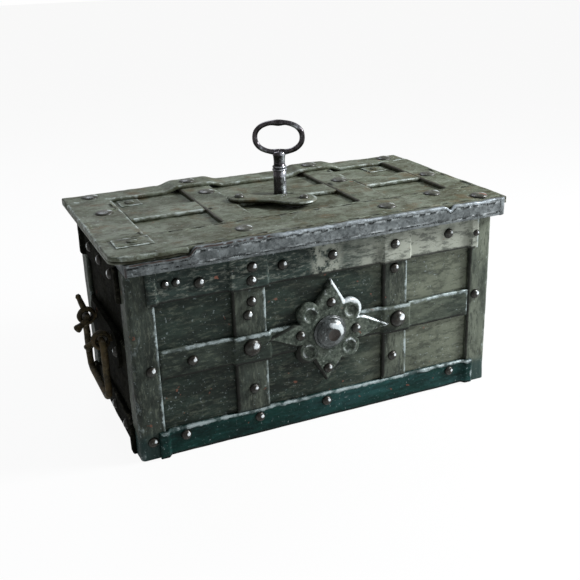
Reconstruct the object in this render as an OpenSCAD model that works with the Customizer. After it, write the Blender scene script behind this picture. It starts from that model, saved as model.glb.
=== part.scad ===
// Riveted iron strongbox with a bolt lock in its lid, a false lock plate on
// its front and a drop handle at each end. Millimetres.
// X runs along the front, Y from front to back and Z up, from the centre of
// the underside.

/* [Box] */
// Width over the corner straps
body_w = 320; // [300:1:400]
// Depth over the corner straps
body_d = 168; // [164:1:220]
// Height of the box without its lid
body_h = 156; // [140:1:200]
// Thickness of the wall, bottom and lid sheets
sheet_t = 2.5; // [1.5:0.1:3]
// Thickness of every strap
strap_t = 3.5; // [2.5:0.1:4]
// Length of the slope where a strap steps over another
joggle_run = 3.5; // [2:0.5:6]
// Clearance beside a strap that another one steps over
joggle_gap = 0.3; // [0.1:0.1:1]

/* [Straps of the box] */
// Width of each leg of a corner strap
corner_w = 21; // [16:1:26]
// How far the end of a band laps over a corner strap
band_lap = 6; // [3:1:10]
// Height of the bottom band
bottom_band_h = 22.5; // [16:0.5:28]
// Height of the top band
top_band_h = 27.5; // [20:0.5:32]
// Height of the middle band
middle_band_h = 24; // [16:0.5:28]
// Rise of the middle band above the middle of the field between the other two
middle_band_up = 2.5; // [-4:0.5:8]
// Centres of the two uprights on the front
upright_x = [-64.5, 65.5]; // [-100:0.5:100]
// Widths of the two uprights on the front
upright_w = [28, 23]; // [16:1:32]

/* [Rim] */
// How far the rim reaches inward from the walls
rim_w = 14; // [10:1:18]
// Thickness of the rim
rim_t = 3; // [2:0.5:4]
// Height of the leg by which the rim is riveted to the walls
rim_leg_h = 16; // [8:1:24]

/* [Front plate and boss] */
// Place of the middle of the false lock plate along the front
plate_x = 3.5; // [-10:0.5:10]
// Half length of the false lock plate, towards its side points
plate_half_w = 54.5; // [48:0.5:60]
// Gap between the top point of the false lock plate and the top band
plate_top_gap = 4.5; // [2:0.5:12]
// Rise of the middle of the false lock plate above the middle of the band
plate_up = 1; // [-4:0.5:4]
// Thickness of the false lock plate over the middle band
plate_face_t = 2; // [1.5:0.1:3]
// Tilt of the false lock plate
plate_tilt = 3.5; // [0:0.5:6]
// Radius of the domed boss
boss_r = 14.5; // [11:0.5:16]
// Height of the dome of the boss
boss_h = 8.5; // [5:0.5:12]

/* [Rivets] */
// Radius of an ordinary rivet head
rivet_r = 4.4; // [3:0.1:4.6]
// Height of an ordinary rivet head
rivet_h = 2.9; // [1.5:0.1:3.5]
// Radius of the large rivet heads on the front crossings
stud_r = 7.5; // [4:0.5:8]
// Height of the large rivet heads
stud_h = 4.4; // [2:0.1:5]
// Radius of the low rivet heads on the lid
lid_rivet_r = 7.5; // [5:0.5:8]
// Height of the low rivet heads on the lid
lid_rivet_h = 2.2; // [1:0.1:3]
// Shift and rise of each large rivet head from its crossing
stud_shift = [[-0.5, 2], [1, 0.5]];
// Radius of the two small rivet heads near the left corner strap
small_rivet_r = 3.6; // [2.5:0.1:4]
// Top band's small rivets: gap between head and foot of the step, rise over its middle
top_left_rivets = [[0.4, 1.5], [8.7, 1.5]];
// Top band's rivets: place along the front, rise over its middle
top_middle_rivets = [[-103.5, -2], [-35.5, 0.5], [8, 1.5]];
// Top band's rivets: distance from the right corner strap, rise over its middle
top_right_rivets = [[22.5, 2.5]];
// Distance of the bottom band's outer rivets from the corner straps
bottom_outer_rivets = [16, 17]; // [6:0.5:40]
// Places of the bottom band's inner rivets along the front
bottom_inner_rivets = [-60, 0.5]; // [-100:0.5:100]
// Distance of the middle band's rivet from the left corner strap
middle_band_rivet = 26; // [6:1:40]
// Rivets of each upright over the top band: shift, and depth below the top
upright_top_rivets = [[[2.5, 9.5], [1.5, 20.3]], [[-2.5, 11]]];
// Rivets of each upright above the middle band: shift, depth under the top band
upright_field_rivets = [[[2, 11], [-1.5, 22]], [[-1, 5.5]]];
// Rivets of each upright below the middle band: shift, and depth under it
upright_low_rivets = [[[1, 24]], [[-2, 22.5]]];
// Rise of the left and right corner straps' rivets over the middle of the band
corner_rivet_rise = [-2.5, 7]; // [-10:0.5:10]
// Rivets of the false lock plate, from its middle
plate_rivets = [[0, 25.5], [0, -32.5], [-26, 0], [24, 0]];
// Lid rivets of the left border: shift, and place behind the middle strap
lid_left_rivets = [[4, 16]];
// Lid rivets of the right border: shift, and place behind the middle strap
lid_right_rivets = [[-2, -6]];
// Lid rivets near the front left corner: shift, distance from the front
lid_front_left_rivets = [[-2, 36], [12, 31]];
// Lid rivets near the front right corner: shift, distance from the front
lid_front_right_rivets = [[-35, 41], [-5, 15]];
// Shift of the front border's rivets from the hinge straps
lid_front_hinge_shift = [-6, -2.5]; // [-10:0.5:10]
// Shift of the back border's rivets from the hinge straps
lid_back_hinge_shift = [-3, -2]; // [-10:0.5:10]
// Rivets of the hinge straps: shift, place behind the middle strap's centre
hinge_strap_rivets = [[[4, 38]], [[3, 16]]];
// Side of the two square washers on the lid sheet
washer_w = 19; // [14:1:24]
// Thickness of the square washers
washer_t = 0.8; // [0.5:0.1:3]
// Washers' places, from the left and right straps and from the back border
washer_in = [14, 12, 14, 12]; // [10:1:40]
// Rivets of the back bands along the back
back_band_rivets = [-110, 8, 110]; // [-130:1:130]
// Rivets of the end bands from the middle of the end
end_band_rivets = [-38, 0, 38]; // [-50:1:50]
// Distance of the rivets from the ends of a handle's plate
handle_rivet_in = 6; // [4:0.5:10]
// Places of the key plate's rivets from its middle
key_rivet_out = [-28, 28]; // [-32:0.5:32]

/* [Lid] */
// Overhang of the lid at the front
lid_over_front = 9; // [7:0.5:12]
// Overhang of the lid at each end
lid_over_end = 9.3; // [6:0.5:12]
// Overhang of the lid sheet at the back
lid_over_back = 14; // [13.5:0.5:18]
// Height of the bars that the lid stands on
lid_bar_h = 9.2; // [6:0.1:12]
// Width of the bars that the lid stands on
lid_bar_w = 13; // [8:1:16]
// Gap between the closed lid and the box
lid_gap = 0.3; // [0.1:0.1:1]
// Width of the upstand along the front edge of the lid
lip_t = 3.4; // [2:0.1:5]
// Place along the front, left of which the border strap covers the lip
lip_step_x = -112; // [-130:1:40]
// Widths of the front, back, left and right border straps
border_w = [50, 24, 38, 29]; // [20:1:56]
// Centre of the long middle strap, towards the back
lid_middle_y = 14; // [6:1:20]
// Width of the long middle strap
lid_middle_w = 26; // [20:1:30]

/* [Hinges] */
// Centres of the two hinge straps
hinge_x = [-53.5, 69]; // [-90:0.5:90]
// Width of the hinge straps
hinge_w = 29; // [24:1:34]
// Radius of the hinge pins
hinge_pin_r = 2.5; // [2:0.1:3]
// Wall round the hinge pins
knuckle_wall = 4; // [3:0.5:4.5]
// Width of the lid's knuckle
knuckle_w = 12; // [8:1:14]
// Side clearance between knuckles, and between a knuckle and a strap
knuckle_gap = 0.4; // [0.2:0.1:0.8]
// Radial clearance of a pin in its hole
pin_fit = 0.06; // [0.03:0.01:0.1]
// Slope of the back border strap over the hinge straps
border_run = 14; // [6:1:18]

/* [Key] */
// Place of the key along the front
key_x = 6; // [-20:1:20]
// Radius of the key's stem at the lid
stem_r = 5.7; // [4:0.1:6]
// Height of the stem above the key plate up to its collar
stem_h = 18; // [10:1:26]
// Height of the neck between the collar and the bow
neck_h = 11.2; // [8:0.1:20]
// Width of the bow
bow_w = 45; // [32:1:50]
// Height of the bow
bow_h = 30; // [22:0.5:31]
// Radius of the bow's rod
bow_rod_r = 2.1; // [1.5:0.1:2.5]
// Direction of the keyhole and the bow
key_turn = -28; // [-45:1:45]
// Reach of the key's bit from the middle of the stem
bit_reach = 11; // [9:0.5:12]
// Thickness of the key's bit
bit_t = 3.2; // [2:0.1:4]
// Distance of the key plate's middle line in front of the key
key_plate_out = 24; // [21:0.5:30]
// Place of the key plate's middle along its line, from the key
key_plate_along = -3.5; // [-10:0.5:10]
// Direction of the key plate
key_plate_turn = -33; // [-45:1:0]
// Half length of the plate in front of the keyhole
key_plate_l = 39; // [30:1:42]
// Radius of the key plate's round end
key_plate_end_r = 15; // [10:0.5:15]
// Share by which the key plate narrows at its waist
key_plate_waist = 0.45; // [0:0.01:0.5]
// Thickness of the plate in front of the keyhole
key_plate_t = 3; // [2:0.1:4]

/* [Lock] */
// Distance of the heads of the front and back bolts from the middle
long_head_x = 76; // [66:1:80]
// Distance of the heads of the end bolts from the middle
end_head_y = 34; // [26:1:40]
// Travel of the bolts over one turn of the key
bolt_travel = 9; // [7:0.5:10]
// Thickness of the bolts
bolt_t = 6; // [4:0.5:8]
// Width of each bolt head
bolt_w = 18; // [12:1:22]
// Width of the bars that join the bolt heads to the cam
bolt_bar_w = 10; // [8:1:12]
// Clearance between the withdrawn bolts and the rim
bolt_clear = 2; // [1:0.5:3]
// Distance of the carrier plate's edge inside the rim
carrier_clear = 6; // [4:1:10]
// Thickness of the carrier plate and of the cam
cam_t = 3; // [2:0.5:4]
// Distance between the lid sheet and the carrier plate
pillar_h = 10; // [9.8:0.1:14]
// Radius of the studs that ride in the cam's groove
cam_stud_r = 2.2; // [1.5:0.1:2.5]
// Clearance of a stud in the groove
groove_fit = 0.2; // [0.1:0.05:0.3]
// Distance of the nearest stud from the key when the bolts are withdrawn
groove_in_r = 19; // [18:0.5:22]

/* [Handles] */
// Distance between the two eyes of a handle
eye_span = 56; // [46:1:64]
// Rise of the eyes above the middle of the middle band
eye_up = 7; // [2:0.5:8]
// Distance of the pivot from the face of the corner straps
eye_out = 11.2; // [11:0.1:13]
// Radius of the handle's bar
bail_r = 2.9; // [2.3:0.1:3.2]
// Drop of the handle below its pivot
bail_drop = 50; // [36:1:56]
// Length and height of the plate behind a handle
handle_plate = [97, 30]; // [20:1:110]
// Thickness of the plate behind a handle
handle_plate_t = 3; // [2:0.1:3]

/* [Hidden] */
$fn = 64;
eps = 0.01;

// Middles of the middle band, of the false lock plate and of the handles
band_mid_z = (bottom_band_h + body_h - top_band_h) / 2 + middle_band_up;
middle_band_z = band_mid_z - middle_band_h / 2;
plate_z = band_mid_z + plate_up;
plate_half_h = body_h - top_band_h - plate_top_gap - plate_z;
eye_z = band_mid_z + eye_up;
handle_plate_z = band_mid_z + plate_up;

// Faces of the box
wall_x = body_w / 2 - strap_t;
wall_y = body_d / 2 - strap_t;
room_x = wall_x - sheet_t;
room_y = wall_y - sheet_t;
mouth_x = room_x - rim_w;
mouth_y = room_y - rim_w;
rim_z = body_h - rim_t;

// Levels of the lid
lid_z = body_h + lid_gap;
lid_sheet_z = lid_z + lid_bar_h;
lid_strap_z = lid_sheet_z + sheet_t;
lid_top_z = lid_strap_z + strap_t;
key_plate_z = lid_top_z + key_plate_t;
lid_x = body_w / 2 + lid_over_end;
lid_front_y = -body_d / 2 - lid_over_front;
lid_back_y = body_d / 2 + lid_over_back;
lip_back_y = lid_front_y + lip_t;
border_front_y = lid_front_y + border_w[0];
border_back_y = lid_back_y - border_w[1];
lid_left_x = -lid_x + border_w[2];
lid_right_x = lid_x - border_w[3];
key_y = lid_middle_y;

// Hinges: the knuckle touches the back edge of the lid sheet from below
knuckle_r = hinge_pin_r + knuckle_wall;
hinge_y = lid_back_y - knuckle_r;
hinge_rise = 0.5;
hinge_z = body_h - knuckle_r + hinge_rise;
hinge_leaf_y = body_d / 2;

// Levels and places of the lock
carrier_z = lid_sheet_z - pillar_h - cam_t;
bolt_z = carrier_z - bolt_t;
cam_gap = 0.5;
cam_z = bolt_z - cam_gap - cam_t;
collar_h = 1.4;
collar_gap = 0.1;
cover_t = 2;
cover_z = cam_z - collar_h - collar_gap - cover_t;
pivot_r = 10;
pivot_z = cover_z - cover_t / 2;
hub_wall = 2.5;
hub_r = bit_reach + hub_wall;
hub_gap = 0.8;
hub_top_z = carrier_z - hub_gap;
groove_r = cam_stud_r + groove_fit;
groove_end = 630;
cam_rim = 3.2;
cam_r = groove_in_r + groove_end / 360 * bolt_travel + groove_r + cam_rim;
carrier_x = mouth_x - carrier_clear;
carrier_y = mouth_y - carrier_clear;
head_x = mouth_x - bolt_clear;
head_y = mouth_y - bolt_clear;
bolt_tail_w = 14;
bolt_tail_end = 4.5;
head_len = 8;
guide_t = 2;
guide_w = 5;
guide_fit = 0.2;
bar_over = 3;
bolt_apart = 4;
tail_apart = 5;
// Lengths of the heads, clear of the tails and of the other bolts' bars
long_head_len = head_y - key_y - bolt_tail_w / 2 - tail_apart;
end_head_len = head_x - long_head_x - bolt_w / 2 - bar_over - bolt_apart;
// The staples hold the bolts just inside their bars and outside the cam
guide_stop = 1;
guide_in = head_len + bolt_bar_w + guide_stop + guide_w / 2;
tail_guide_out = cam_r + 15;
post_r = 3;
post_gap = 1.5;
post_y = bolt_tail_w / 2 + post_r + post_gap;
post_x = sqrt(pow(cam_r + post_r + post_gap, 2) - post_y * post_y);
cover_x = post_x + post_r + post_gap;
cover_y = 28;
ring_hole_r = 4.4;
ring_hole_out = 19.5;
foil_r = 3.7;
foil_out = 3.4;
foil_x = 34;

// Key
bit_h = 8;
bit_rise = 1.2;
bit_z = cam_z + bit_rise;
stem_z = cam_z + bit_rise / 2;
tip_r = 3;
tip_h = 3.4;
collar_z = key_plate_z + stem_h;
key_collar_h = 4.4;
neck_z = collar_z + key_collar_h;
neck_cut = 0.55;
neck_r = stem_r - neck_cut;
bow_z = neck_z + neck_h + bow_h / 2 - bow_rod_r;
hole_fit = 0.3;

// Handles
eye_r = 8;
eye_w = 6;
eye_bore_r = bail_r + pin_fit;
handle_face = body_w / 2 + handle_plate_t;
pivot_x = body_w / 2 + eye_out;
arm_gap = 2.5;
eye_edge = 1.6;
eye_neck = [3.2, 3.4];
spike_low = [1, 1, -3];
spike_high = [5, 4, 19];
spike_r = [2.6, 2.2];
bail_end_gap = 0.6;
knob = [11.5, 0, -9];
knob_grow = 0.5;
arm_y = eye_span / 2 + eye_w / 2 + bail_r + arm_gap;
bail_bend = 10;

// How many turns of the groove lie between the right-hand stud and this one
function stud_turn(side) = side == "right" ? 0 : side == "front" ? 0.25 : side == "left" ? 0.5 : 0.75;
// Distance of a stud from the key when the bolts are withdrawn
function stud_place(side) = groove_in_r + bolt_travel * stud_turn(side);

// ---------------------------------------------------------------- helpers

// Puts children made for the front, with the wall at y = 0 and outward -Y, on
// one of the four walls.
module on_wall(side) {
    turn = side == "front" ? 0 : side == "right" ? 90 : side == "back" ? 180 : -90;
    out = (side == "front" || side == "back") ? wall_y : wall_x;
    rotate([0, 0, turn]) translate([0, -out, 0]) children();
}

// Half of the length of a wall over its corner straps
function wall_half(side) = (side == "front" || side == "back") ? body_w / 2 : body_d / 2;

// A block given by its corners
module block(low, high) {
    translate(low) cube(high - low);
}

// A domed head of radius r and height h on z = 0
module dome(r, h) {
    ball_r = (r * r + h * h) / (2 * h);
    intersection() {
        translate([0, 0, h - ball_r]) sphere(ball_r, $fn = 96);
        cylinder(r = r + 1, h = h + 1);
    }
}

// A rivet head on a wall at (u, z), seated on straps that are level deep
module wall_rivet(u, z, level, r = rivet_r, h = rivet_h) {
    translate([u, -level * strap_t, z]) rotate([90, 0, 0]) dome(r, h);
}

// A rivet head on top of the lid
module lid_rivet(x, y, z = lid_top_z) {
    translate([x, y, z]) dome(lid_rivet_r, lid_rivet_h);
}

// A round rod from a to b
module rod(a, b, r, end_r) {
    span = b - a;
    translate(a)
        rotate([0, acos(span[2] / norm(span)), atan2(span[1], span[0])])
            cylinder(h = norm(span), r1 = r, r2 = end_r);
}

// Points along one face of a strap from u0 to u1. base is the face's level on
// the wall and lift its level over each crossing [from, to].
function strap_face(u0, u1, crossings, run, base, lift, shift) =
    let (raised_start = len([for (c = crossings) if (c[0] <= u0) 1]) > 0,
         raised_end = len([for (c = crossings) if (c[1] >= u1) 1]) > 0)
    concat(
        [[u0, raised_start ? lift : base]],
        [for (c = crossings) each concat(
            c[0] <= u0 ? [] : [[c[0] - joggle_gap - run - shift, base],
                               [c[0] - joggle_gap - shift, lift]],
            c[1] >= u1 ? [] : [[c[1] + joggle_gap + shift, lift],
                               [c[1] + joggle_gap + run + shift, base]])],
        [[u1, raised_end ? lift : base]]);

// A strap of width w along X with its back on y = 0, stepped out over crossings
module stepped_strap(u0, u1, w, crossings = [], run = joggle_run) {
    shift = strap_t * tan(atan2(strap_t, run) / 2);
    back = strap_face(u0, u1, crossings, run, 0, -strap_t, 0);
    face = strap_face(u0, u1, crossings, run, -strap_t, -2 * strap_t, shift);
    linear_extrude(w)
        polygon(concat(back, [for (i = [len(face) - 1:-1:0]) face[i]]));
}

// ------------------------------------------------------------- box sheets

module bottom_plate() {
    color("darkslategray")
        block([-room_x, -room_y, 0], [room_x, room_y, sheet_t]);
}

module long_plate(side) {
    color("darkolivegreen") on_wall(side)
        block([-wall_x, 0, 0], [wall_x, sheet_t, body_h]);
}

module end_plate(side) {
    color("darkolivegreen") on_wall(side)
        block([-room_y, 0, 0], [room_y, sheet_t, body_h]);
}

// Frame under the edge of the mouth that the bolts catch behind
module rim_flange() {
    leg_t = sheet_t;
    color("dimgray") difference() {
        block([-room_x, -room_y, body_h - rim_leg_h], [room_x, room_y, body_h]);
        block([-mouth_x, -mouth_y, body_h - rim_leg_h - 1], [mouth_x, mouth_y, body_h + 1]);
        block([-room_x + leg_t, -room_y + leg_t, body_h - rim_leg_h - 1],
              [room_x - leg_t, room_y - leg_t, rim_z]);
    }
}

// ------------------------------------------------------------- box straps

// An angle folded over a vertical corner, outside edge rounded by the fold
module corner_strap(sx, sy) {
    color("slategray") scale([sx, sy, 1])
        translate([body_w / 2, body_d / 2, 0]) linear_extrude(body_h) {
            translate([-corner_w, -strap_t]) square([corner_w - strap_t, strap_t]);
            translate([-strap_t, -corner_w]) square([strap_t, corner_w - strap_t]);
            translate([-strap_t, -strap_t]) intersection() {
                circle(strap_t);
                square(strap_t);
            }
        }
}

module front_upright(i) {
    color("darkslategray") on_wall("front")
        block([upright_x[i] - upright_w[i] / 2, -strap_t, bottom_band_h],
              [upright_x[i] + upright_w[i] / 2, 0, body_h]);
}

function upright_crossings() = [for (i = [0, 1])
    [upright_x[i] - upright_w[i] / 2, upright_x[i] + upright_w[i] / 2]];

// A band between two corner straps that laps over both of them
module lapped_band(side, z, h, crossings = []) {
    half = wall_half(side);
    corner = half - corner_w;
    on_wall(side) translate([0, 0, z])
        stepped_strap(-corner - band_lap, corner + band_lap, h,
            concat([[-half, -corner]], crossings, [[corner, half]]));
}

// A band that ends against the corner straps
module butted_band(side, z, h, crossings = []) {
    corner = wall_half(side) - corner_w;
    on_wall(side) translate([0, 0, z]) stepped_strap(-corner, corner, h, crossings);
}

module bottom_band(side) {
    color("darkcyan") lapped_band(side, 0, bottom_band_h);
}

module middle_band(side, crossings = []) {
    color("darkolivegreen") butted_band(side, middle_band_z, middle_band_h, crossings);
}

module top_band(side, crossings = []) {
    color("darkolivegreen") lapped_band(side, body_h - top_band_h, top_band_h, crossings);
}

module end_bands(side) {
    bottom_band(side);
    middle_band(side);
    top_band(side);
}

// ---------------------------------------------------------------- hinges

// The strap of the box's half of a hinge, stepped over the three bands
module back_hinge_strap(i) {
    bands = [[-1, bottom_band_h], [middle_band_z, middle_band_z + middle_band_h],
             [body_h - top_band_h, body_h + 1]];
    leaf_top = hinge_z;
    color("slategray") difference() {
        union() {
            // The strap's own length is turned upright from X to Z
            translate([hinge_x[i] - hinge_w / 2, wall_y, 0]) rotate([0, -90, 180])
                stepped_strap(0, leaf_top, hinge_w, bands);
            translate([hinge_x[i] - hinge_w / 2, hinge_y, hinge_z]) rotate([0, 90, 0])
                cylinder(r = knuckle_r - knuckle_gap, h = hinge_w);
            block([hinge_x[i] - hinge_w / 2, hinge_leaf_y, hinge_z - strap_t],
                  [hinge_x[i] + hinge_w / 2, hinge_y, hinge_z + strap_t / 2]);
        }
        translate([hinge_x[i] - hinge_w, hinge_y, hinge_z]) rotate([0, 90, 0])
            cylinder(r = hinge_pin_r + pin_fit, h = 2 * hinge_w);
        translate([hinge_x[i] - knuckle_w / 2 - knuckle_gap, hinge_y, hinge_z]) rotate([0, 90, 0])
            cylinder(r = knuckle_r + knuckle_gap, h = knuckle_w + 2 * knuckle_gap);
    }
}

module hinge_pins() {
    head = 1.5;
    color("dimgray") for (i = [0, 1])
        translate([hinge_x[i] - hinge_w / 2, hinge_y, hinge_z]) rotate([0, 90, 0]) {
            translate([0, 0, -head]) cylinder(r = hinge_pin_r + 1.2, h = head);
            cylinder(r = hinge_pin_r, h = hinge_w);
            translate([0, 0, hinge_w]) cylinder(r = hinge_pin_r + 1.2, h = head);
        }
}

// ------------------------------------------------- false lock plate, boss

// The plate's outline: four points and four round lobes, drawn inside its edge
// by inset
module false_plate_outline(inset) {
    point = 2.2 * inset;
    polygon([for (s = [[1, 0], [1, 1], [-1, 1], [-1, 0], [-1, -1], [1, -1]])
        [s[0] * (s[1] == 0 ? plate_half_w - point : plate_half_w * 0.59), s[1] * (9.5 - inset)]]);
    polygon([for (s = [[0, 1], [-1, 1], [-1, -1], [0, -1], [1, -1], [1, 1]])
        [s[0] * (13.5 - inset), s[1] * (s[0] == 0 ? plate_half_h - point : plate_half_h * 0.55)]]);
    for (sx = [-1, 1], sy = [-1, 1])
        translate([sx * 18.5, sy * 16]) circle(10.5 - inset);
}

// Everything between the front sheet and a face that lies level deep and steps
// out with the middle band over the uprights
module under_stepped_face(level, z, h) {
    reach = plate_half_w + 20;
    shift = strap_t * tan(atan2(strap_t, joggle_run) / 2);
    translate([0, 0, z]) linear_extrude(h) polygon(concat(
        [[reach, 1], [-reach, 1]],
        strap_face(-reach, reach, upright_crossings(), joggle_run, -level, -level - strap_t, shift)));
}

// Lies on the front sheet, is let down over the middle band and follows its
// steps with both side points
module false_lock_plate() {
    edge = 0.8;
    cup_r = 6.2;
    cup_depth = 1.8;
    ball_r = (cup_r * cup_r + cup_depth * cup_depth) / (2 * cup_depth);
    face = strap_t + plate_face_t;
    deep = face + strap_t + 1;
    low_z = plate_z - plate_half_h - 5;
    high = 2 * plate_half_h + 10;
    color("darkolivegreen") on_wall("front") difference() {
        for (layer = [[0, edge], [1.2, 0]]) intersection() {
            translate([plate_x, 0, plate_z]) rotate([0, plate_tilt, 0]) rotate([90, 0, 0])
                linear_extrude(deep) false_plate_outline(layer[0]);
            under_stepped_face(face - layer[1], low_z, high);
        }
        translate([plate_x, 0, plate_z]) rotate([0, plate_tilt, 0]) rotate([90, 0, 0])
            for (sx = [-1, 1], sy = [-1, 1])
                translate([sx * 18.5, sy * 16, face - cup_depth + ball_r]) sphere(ball_r, $fn = 96);
        under_stepped_face(strap_t, middle_band_z, middle_band_h);
    }
}

module front_boss() {
    foot_h = 1.4;
    pit_r = 5.4;
    color("gray") on_wall("front")
        translate([plate_x, -strap_t - plate_face_t, plate_z]) rotate([90, 0, 0]) difference() {
            union() {
                cylinder(r = boss_r, h = foot_h);
                translate([0, 0, foot_h]) dome(boss_r - 0.8, boss_h);
            }
            translate([0, 0, foot_h + boss_h + 2.2]) sphere(pit_r);
        }
}

// ---------------------------------------------------------------- rivets

module front_rivets() {
    top_z = body_h - top_band_h / 2;
    low_z = bottom_band_h * 0.68;
    corner = body_w / 2 - corner_w;
    corner_mid = body_w / 2 - corner_w * 0.67;
    step_foot = joggle_gap + joggle_run + strap_t * tan(atan2(strap_t, joggle_run) / 2);
    color("silver") on_wall("front") {
        for (p = top_left_rivets)
            wall_rivet(-corner + step_foot + small_rivet_r + p[0], top_z + p[1], 1, small_rivet_r);
        for (p = top_middle_rivets) wall_rivet(p[0], top_z + p[1], 1);
        for (p = top_right_rivets) wall_rivet(corner - p[0], top_z + p[1], 1);
        for (u = concat([-corner + bottom_outer_rivets[0], corner - bottom_outer_rivets[1]],
                        bottom_inner_rivets))
            wall_rivet(u, low_z, 1);
        wall_rivet(-corner + middle_band_rivet, band_mid_z, 1);
        for (i = [0, 1]) {
            for (p = upright_top_rivets[i]) wall_rivet(upright_x[i] + p[0], body_h - p[1], 2);
            for (p = upright_field_rivets[i])
                wall_rivet(upright_x[i] + p[0], body_h - top_band_h - p[1], 1);
            for (p = upright_low_rivets[i]) wall_rivet(upright_x[i] + p[0], middle_band_z - p[1], 1);
            wall_rivet(upright_x[i] + stud_shift[i][0], band_mid_z + stud_shift[i][1], 2, stud_r, stud_h);
        }
        wall_rivet(-corner - band_lap - rivet_r - joggle_gap, low_z, 1);
        wall_rivet(-corner_mid, band_mid_z + corner_rivet_rise[0], 1);
        wall_rivet(corner_mid, band_mid_z + corner_rivet_rise[1], 1);
        wall_rivet(corner + band_lap / 2, top_z, 2, band_lap / 2, rivet_h * 0.7);
        translate([plate_x, -strap_t - plate_face_t, plate_z]) rotate([0, plate_tilt, 0])
            for (p = plate_rivets) translate([p[0], 0, p[1]]) rotate([90, 0, 0]) dome(rivet_r, rivet_h);
    }
}

module back_rivets() {
    color("gray") on_wall("back") {
        for (x = hinge_x, z = [bottom_band_h / 2, band_mid_z]) wall_rivet(-x, z, 2);
        for (x = hinge_x) wall_rivet(-x, body_h - top_band_h - hinge_w / 2, 1);
        for (u = back_band_rivets, z = [bottom_band_h / 2, band_mid_z, body_h - top_band_h / 2])
            wall_rivet(u, z, 1);
    }
}

module end_rivets(side) {
    color("gray") on_wall(side) {
        for (u = end_band_rivets, z = [bottom_band_h / 2, body_h - top_band_h / 2])
            wall_rivet(u, z, 1);
    }
    color("gray") on_wall(side)
        for (u = [-1, 1] * (handle_plate[0] / 2 - handle_rivet_in))
            translate([u, -strap_t - handle_plate_t, handle_plate_z])
                rotate([90, 0, 0]) dome(rivet_r, rivet_h);
}

// --------------------------------------------------------------- handles

module handle_backplate(side) {
    half = handle_plate / 2;
    cut = 6;
    color("dimgray") on_wall(side)
        translate([0, -strap_t, handle_plate_z]) rotate([90, 0, 0])
            linear_extrude(handle_plate_t) polygon([
                for (s = [[1, 1], [-1, 1], [-1, -1], [1, -1]]) each
                    s[0] * s[1] > 0
                        ? [[s[0] * half[0], s[1] * (half[1] - cut)], [s[0] * (half[0] - cut), s[1] * half[1]]]
                        : [[s[0] * (half[0] - cut), s[1] * half[1]], [s[0] * half[0], s[1] * (half[1] - cut)]]
            ]);
}

// Two eyes whose shanks pass into the plate; the one at the back carries the
// turned-up end of its shank
module handle_eyes(side) {
    sign = side == "left" ? -1 : 1;
    color("saddlebrown") scale([sign, 1, 1]) for (y = [-1, 1] * eye_span / 2) {
        difference() {
            union() {
                translate([pivot_x, y, eye_z]) rotate([90, 0, 0]) rotate_extrude() polygon([
                    [eye_bore_r, -eye_w / 2], [eye_r - eye_edge, -eye_w / 2],
                    [eye_r, -eye_w / 2 + eye_edge], [eye_r, eye_w / 2 - eye_edge],
                    [eye_r - eye_edge, eye_w / 2], [eye_bore_r, eye_w / 2]]);
                translate([handle_face, y, eye_z]) rotate([0, 90, 0])
                    cylinder(r = eye_neck[0], h = eye_neck[1]);
                if (y > 0) translate([pivot_x, y, eye_z]) {
                    rod(spike_low + [0, 0, eye_r], spike_high, spike_r[0], spike_r[1]);
                    translate(spike_high) sphere(spike_r[0]);
                }
            }
            translate([pivot_x, y, eye_z]) rotate([90, 0, 0])
                cylinder(r = eye_bore_r, h = eye_w + 2, center = true);
        }
    }
}

// A drop handle: its turned-in ends pass through the eyes and finish in knobs
module bail(side) {
    sign = side == "left" ? -1 : 1;
    low = -bail_drop;
    knob_y = eye_span / 2 - eye_w / 2 - bail_r - bail_end_gap;
    color("saddlebrown") scale([sign, 1, 1]) translate([pivot_x, 0, eye_z]) {
        for (s = [-1, 1]) scale([1, s, 1]) {
            rod([0, knob_y, 0], [0, arm_y, 0], bail_r, bail_r);
            translate([0, arm_y, 0]) sphere(bail_r);
            rod([0, arm_y, low + bail_bend], [0, arm_y, 0], bail_r, bail_r);
            translate([0, arm_y - bail_bend, low + bail_bend]) rotate([0, 90, 0])
                rotate_extrude(angle = 90) translate([bail_bend, 0]) circle(bail_r);
            translate([0, knob_y, 0]) sphere(bail_r);
            rod([0, knob_y, 0], [0, knob_y, 0] + knob, bail_r, bail_r - knob_grow);
            translate([0, knob_y, 0] + knob) sphere(bail_r + knob_grow);
        }
        rod([0, -arm_y + bail_bend, low], [0, arm_y - bail_bend, low], bail_r, bail_r);
    }
}

// ------------------------------------------------------------------- lid

// The keyhole through sheets between z0 and z1: a round hole and a slot for
// the bit
module keyhole(z0, z1) {
    translate([key_x, key_y, z0]) rotate([0, 0, key_turn]) {
        cylinder(r = stem_r + hole_fit, h = z1 - z0);
        translate([0, -bit_t / 2 - hole_fit, 0])
            cube([bit_reach + hole_fit, bit_t + 2 * hole_fit, z1 - z0]);
    }
}

// Left of the lip's step the sheets reach over the lip
module front_cut(z0, z1) {
    block([lip_step_x, lid_front_y - 1, z0], [lid_x + 1, lip_back_y, z1]);
}

module lid_plate() {
    color("darkolivegreen") difference() {
        block([-lid_x, lid_front_y, lid_sheet_z], [lid_x, lid_back_y, lid_strap_z]);
        keyhole(lid_sheet_z - 1, lid_strap_z + 1);
        front_cut(lid_sheet_z - 1, lid_strap_z + 1);
    }
}

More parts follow.
